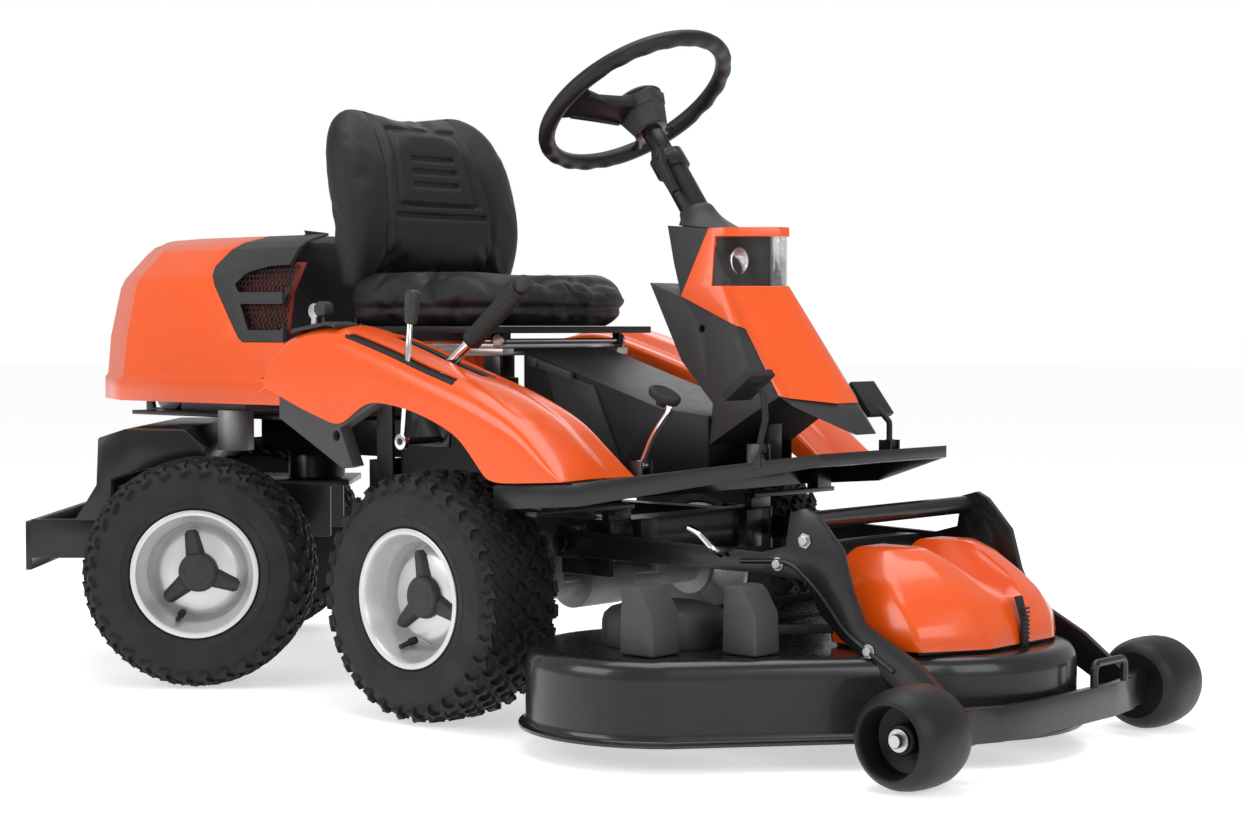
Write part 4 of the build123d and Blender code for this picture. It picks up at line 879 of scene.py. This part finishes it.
guards = newMesh()
for side in (-1, 1):
    latheIn(guards, [(96, 160.6), (97, 164), (96, 196), (93, 206), (84, 214), (70, 218), (60, 221.5), (0, 222)],
            (deckLook["hat"][0], side * deckLook["hat"][1], 0), (0, 0, 1), 80)
guardObject = rawPiece("beltGuards", guards)
modifier(guardObject, "SOLIDIFY", thickness=0.003, offset=-1.0)
dress(settled(guardObject), "darkPanel", "deck", ("belt_guards",), 50)
fins = newMesh()
for side in (-1, 1):
    for finX, (y0, y1), tall in ((470, (398, 462), 262), (578, (300, 358), 262)):
        loftIn(fins, [[(x, side * y0, z), (x, side * y1, z), (x + d, side * y1, z), (x + d, side * y0, z)]
                      for x, z, d in ((finX, 160.6, 64), (finX + 1, 222, 60), (finX + 3, tall - 8, 38),
                                      (finX + 5, tall, 26))])
piece("beltShields", fins, "greyTrim", "deck", bevel=4, segments=3)

coverBm = newMesh()
coverRows = [(166, half([(868, 60), (868, 92), (812, 190), (720, 196), (640, 178)])),
             (196, half([(862, 60), (860, 96), (806, 192), (716, 194), (636, 176)])),
             (232, half([(846, 52), (838, 104), (776, 182), (706, 184), (632, 170)])),
             (262, half([(812, 44), (800, 104), (748, 168), (700, 170), (630, 160)])),
             (288, half([(776, 38), (764, 96), (726, 146), (690, 148), (632, 142)])),
             (306, half([(738, 34), (728, 86), (706, 118), (684, 120), (642, 116)]))]
loftIn(coverBm, [[(x, y, z) for x, y in plan] for z, plan in coverRows])
bmesh.ops.recalc_face_normals(coverBm, faces=coverBm.faces)
roundEdges(coverBm, 11, 4, 14, lambda e: min(v.co.z for v in e.verts) > 168 or abs(edgeRun(e).z) > 0.6)
coverPiece = rawPiece("deckCover", coverBm)
scoop = newMesh()
loftIn(scoop, [[(x, -w, z), (x, -w * 0.62, z - d), (x, w * 0.62, z - d), (x, w, z), (x, w, z + 80), (x, -w, z + 80)]
               for x, z, w, d in ((600, 330, 66, 42), (700, 316, 66, 46), (760, 286, 60, 44), (810, 258, 54, 34),
                                  (846, 240, 44, 14))])
roundEdges(scoop, 9, 3, 20, lambda e: abs(edgeRun(e).x) > 0.5)
cutWith(coverPiece, rawPiece("coverScoop", scoop))
bevelled(coverPiece, 4, 3, 28)
dress(settled(coverPiece), "orangePanel", "deck", ("deck_cover",), 38)
strap = newMesh()
loftIn(strap, [[(x, -9, z), (x, 9, z), (x - 4, 9, z), (x - 4, -9, z)]
               for x, z in ((873, 160.6), (873, 200), (862, 236))])
for step in range(9):
    blockIn(strap, (872, 875.5), (-9, 9), (166 + 6.4 * step, 169 + 6.4 * step))
piece("coverStrap", strap, "gripRubber", "deck", bevel=0.6)
skirt = newMesh()
planSlab(skirt, half([(862, 56), (860, 86), (806, 184), (716, 188), (650, 172)]), 160.4, 170)
piece("coverSkirt", skirt, "blackPlastic", "deck", bevel=1)

for hand, side in (("left", 1), ("right", -1)):
    roller = newMesh()
    latheIn(roller, [(12, -46), (30, -50), (52, -59.5), (60, -55.5), (66, -48.5), (71, -34), (72.6, -18), (72.7, 2),
                     (71.6, 20), (69, 36), (64, 48), (57.5, 56), (54.5, 59), (52, 59.6), (50, 57), (49, 50), (48, 12),
                     (36, 8), (22, 6), (22, 27), (20, 29), (12, 29)],
            (rollerLook["x"], side * rollerLook["y"], rollerLook["z"]), (0, side, 0), 96)
    piece(f"roller{hand.title()}", roller, "blackPlastic", f"roller_{hand}", (f"roller_{hand}",), sharp=32)
    ends = newMesh()
    latheIn(ends, [(0, 44), (9, 44), (10, 42.5), (10, 34), (16, 34), (16.5, 32.5), (16.5, 30.4), (10.4, 30.4)],
            (rollerLook["x"], side * rollerLook["y"], rollerLook["z"]), (0, side, 0), 40)
    piece(f"rollerEnd{hand.title()}", ends, "bareSteel", "deck_frame", sharp=35)
print("deck made")


# The rest of the machine: CAD shapes with softened edges

for node, material, body, width in (
        ("main_frame", "blackSteel", "chassis", 1.6), ("front_axle", "castAlloy", "chassis", 2.0),
        ("engine_block", "castAlloy", "chassis", 2.5), ("engine_shroud", "blackPlastic", "chassis", 3.0),
        ("muffler", "castAlloy", "chassis", 1.5), ("fuel_tank", "blackPlastic", "chassis", 2.0),
        ("tunnel_cover", "blackPlastic", "chassis", 2.5), ("access_panel", "darkPanel", "chassis", 1.6),
        ("control_panel", "darkPanel", "chassis", 1.0), ("column_lower", "blackSteel", "chassis", 1.0),
        ("seat_rails", "bareSteel", "chassis", 0.8), ("lever_bracket", "blackSteel", "chassis", 1.0),
        ("footplate", "blackSteel", "chassis", 2.2), ("rear_frame", "blackSteel", "rear_carriage", 1.6),
        ("rear_transaxle", "castAlloy", "rear_carriage", 2.0), ("weight_box", "blackSteel", "rear_carriage", 3.0),
        ("tow_bar", "blackSteel", "rear_carriage", 1.6), ("seat_slider", "bareSteel", "seat_slider", 0.6),
        ("seat_pan", "blackPlastic", "seat", 2.0), ("lift_frame", "blackSteel", "deck_frame", 2.2),
        ("deck_belt", "gripRubber", "deck", 0.8), ("blade_left", "bareSteel", "blade_left", 0.6),
        ("blade_middle", "bareSteel", "blade_middle", 0.6), ("blade_right", "bareSteel", "blade_right", 0.6),
        ("ignition_key", "bareSteel", "ignition_key", 0.5), ("brake_pedal", "gripRubber", "brake_pedal", 1.4)):
    sharpened(node, material, body, width)
print("frame and castings made")


# Levers, pedals and small fittings

def ribbedGrip(bm, start, end, radius, ribs, depth=1.2):
    start, end = Vector(start), Vector(end)
    along = (end - start).normalized()
    span = (end - start).length
    outline = [(0, 0), (radius * 0.86, 0), (radius, 3)]
    for rib in range(ribs):
        low = 8 + (span - 16) * rib / ribs
        pitch = (span - 16) / ribs
        outline += [(radius, low), (radius, low + pitch * 0.55), (radius - depth, low + pitch * 0.65),
                    (radius - depth, low + pitch * 0.92)]
    outline += [(radius, span - 5), (radius * 0.8, span), (0, span)]
    latheIn(bm, outline, start, along, 32)


def onLift(distance):
    return Vector((-92 + distance * math.cos(math.radians(32)), -330,
                   520 + distance * math.sin(math.radians(32)) + distance * 0.12))


liftRod = newMesh()
rodIn(liftRod, onLift(0), onLift(176), 10.5, 9.0, segments=32)
rodIn(liftRod, (-92, -341, 520), (-92, -319, 520), 17, segments=32)
piece("liftRod", liftRod, "chromed", "lift_lever", ("lift_lever",), bevel=1.0)
grip = newMesh()
ribbedGrip(grip, onLift(146), onLift(275), 16.5, 11)
piece("liftGrip", grip, "gripRubber", "lift_lever", sharp=50)
button = newMesh()
latheIn(button, [(0, 0), (9, 0), (9, 22), (13.5, 23), (14, 26), (14, 33), (12, 36.5), (6, 38), (0, 38.2)], onLift(262),
        (onLift(288) - onLift(262)).normalized(), 32)
piece("liftButton", button, "darkPanel", "lift_button", ("lift_button",), sharp=45)

heightRod = newMesh()
rodIn(heightRod, (-58, -396, 458), (-40, -396, 650), 5, segments=24)
rodIn(heightRod, (-60, -401, 452), (-60, -391, 452), 13, segments=32)
piece("heightRod", heightRod, "chromed", "height_lever", ("height_lever",), bevel=0.8)
knob = newMesh()
latheIn(knob, [(0, 0), (8, 0), (10.5, 3), (11, 10), (12.6, 34), (13.2, 44), (12, 51), (8, 54.6), (0, 55.6)],
        (-38.5, -396, 644), (0.1, 0, 1), 36)
piece("heightKnob", knob, "darkPanel", "height_lever", sharp=60)

throttle = newMesh()
blockIn(throttle, (-271, -265), (-383, -377), (603, 662))
rodIn(throttle, (-268, -384, 596), (-268, -376, 596), 10)
piece("throttleArm", throttle, "blackSteel", "throttle_lever", ("throttle_lever",), bevel=0.8)
throttleKnob = newMesh()
loftIn(throttleKnob, [[(-268 + w * a, -380 + d * b, z) for a, b in ((-1, -1), (1, -1), (1, 1), (-1, 1))]
                      for z, w, d in ((657, 9, 8), (662, 12.5, 10.5), (673, 13, 11), (680, 10, 9), (682, 6, 6))])
for step in range(5):
    blockIn(throttleKnob, (-281.6 + 5 * step, -279.4 + 5 * step), (-391, -370), (664, 676))
piece("throttleKnob", throttleKnob, "darkPanel", "throttle_lever", bevel=1.4, segments=3)

reverseRod = newMesh()
barIn(reverseRod, [(314, -230, 424), (338, -230, 470), (372, -229, 512), (364, -230, 530)], 5.6, 12)
rodIn(reverseRod, (312, -237, 420), (312, -223, 420), 9)
piece("reverseRod", reverseRod, "chromed", "reverse_pedal", ("reverse_pedal",), bevel=0.6)
reversePad = newMesh()
padAim = Vector((0.5, 0, 0.86)).normalized()
latheIn(reversePad, [(0, -18), (8, -18), (9, -7), (20, -7), (25.5, -5), (27, 0), (26, 4), (22, 6), (18, 5), (0, 5)],
        (360, -230, 532), padAim, 48)
piece("reversePad", reversePad, "gripRubber", "reverse_pedal", sharp=50)
sharpened("forward_pedal", "gripRubber", "forward_pedal", 2.0)

fittings = newMesh()
for side in (-1, 1):   # bolt heads with washers on the deck arms
    for x, z, radius in ((640, 322, 8), (590, 284, 7), (756, 168, 7)):
        boltLine = ((0, 0), (1.5, 0), (1.5, 1.6), (1.02, 1.8), (1.02, 6.5), (0.86, 7.6), (0, 7.8))
        latheIn(fittings, [(radius * share, along) for share, along in boltLine], (x, side * 238.5, z), (0, side, 0),
                6 if radius > 7.5 else 12)
piece("frameBolts", fittings, "bareSteel", "deck_frame", sharp=30)
release = newMesh()
barIn(release, [(486, -244, 292), (486, -262, 300), (458, -266, 326), (440, -266, 332)], 5.2, 9)
piece("frameRelease", release, "chromed", "deck_frame")
ribs = newMesh()
for side in (-1, 1):   # pressed bead along each deck arm
    barIn(ribs, [(520, side * 238.4, 284), (612, side * 238.4, 290), (664, side * 238.4, 250), (716, side * 238.4, 190),
                 (800, side * 238.4, 142)], 4.0, 22)
piece("armBeads", ribs, "blackSteel", "deck_frame")
print("levers and fittings made")


# Floor, lights and camera

floor = newMesh()
bmesh.ops.create_grid(floor, x_segments=1, y_segments=1, size=30000)
floorObject = rawPiece("studioFloor", floor)
floorShader = newShader("studioFloor", Base_Color=(0.8, 0.8, 0.8, 1), Roughness=0.8, Emission_Color=(1, 1, 1, 1),
                        Emission_Strength=0.56)
floorObject.data.materials.append(floorShader[0])

world = bpy.data.worlds.new("studio")
world.use_nodes = True
sky, skyLinks = world.node_tree.nodes, world.node_tree.links
seen = sky["Background"]
seen.inputs["Color"].default_value = (1, 1, 1, 1)
seen.inputs["Strength"].default_value = 1.0
given = sky.new("ShaderNodeBackground")
given.inputs["Color"].default_value = (1, 1, 1, 1)
given.inputs["Strength"].default_value = 0.5
rays, chosen = sky.new("ShaderNodeLightPath"), sky.new("ShaderNodeMixShader")
skyLinks.new(rays.outputs["Is Camera Ray"], chosen.inputs["Fac"])
skyLinks.new(given.outputs["Background"], chosen.inputs[1])
skyLinks.new(seen.outputs["Background"], chosen.inputs[2])
skyLinks.new(chosen.outputs["Shader"], sky["World Output"].inputs["Surface"])
bpy.context.scene.world = world


def softBox(name, place, aim, size, power):
    lamp = bpy.data.lights.new(name, "AREA")
    lamp.shape, lamp.size, lamp.size_y, lamp.energy = "RECTANGLE", size[0], size[1], power
    holder = bpy.data.objects.new(name, lamp)
    holder.location = place
    holder.rotation_euler = (Vector(aim) - Vector(place)).to_track_quat("-Z", "Y").to_euler()
    bpy.context.scene.collection.objects.link(holder)


softBox("overhead", (0.2, 0.0, 3.6), (0.0, 0.0, 0.3), (3.4, 2.4), 74)
softBox("frontFill", (3.6, -1.2, 1.9), (0.2, 0.0, 0.6), (2.2, 2.0), 40)
softBox("sideKey", (-1.2, -3.8, 2.1), (-0.2, 0.0, 0.6), (2.6, 1.8), 54)
softBox("backRim", (-1.8, 3.0, 2.3), (0.0, 0.0, 0.6), (2.4, 1.6), 16)

camera = bpy.data.cameras.new("studioCamera")
camera.lens, camera.sensor_width = 66.55, 36.0
cameraHolder = bpy.data.objects.new("studioCamera", camera)
cameraHolder.location = datum + Vector((2.68458, -2.97175, 0.63879))
cameraHolder.rotation_euler = (math.radians(90 - 2.190), 0, math.radians(41.342))
bpy.context.scene.collection.objects.link(cameraHolder)
bpy.context.scene.camera = cameraHolder
bpy.context.scene.view_settings.view_transform = "Standard"
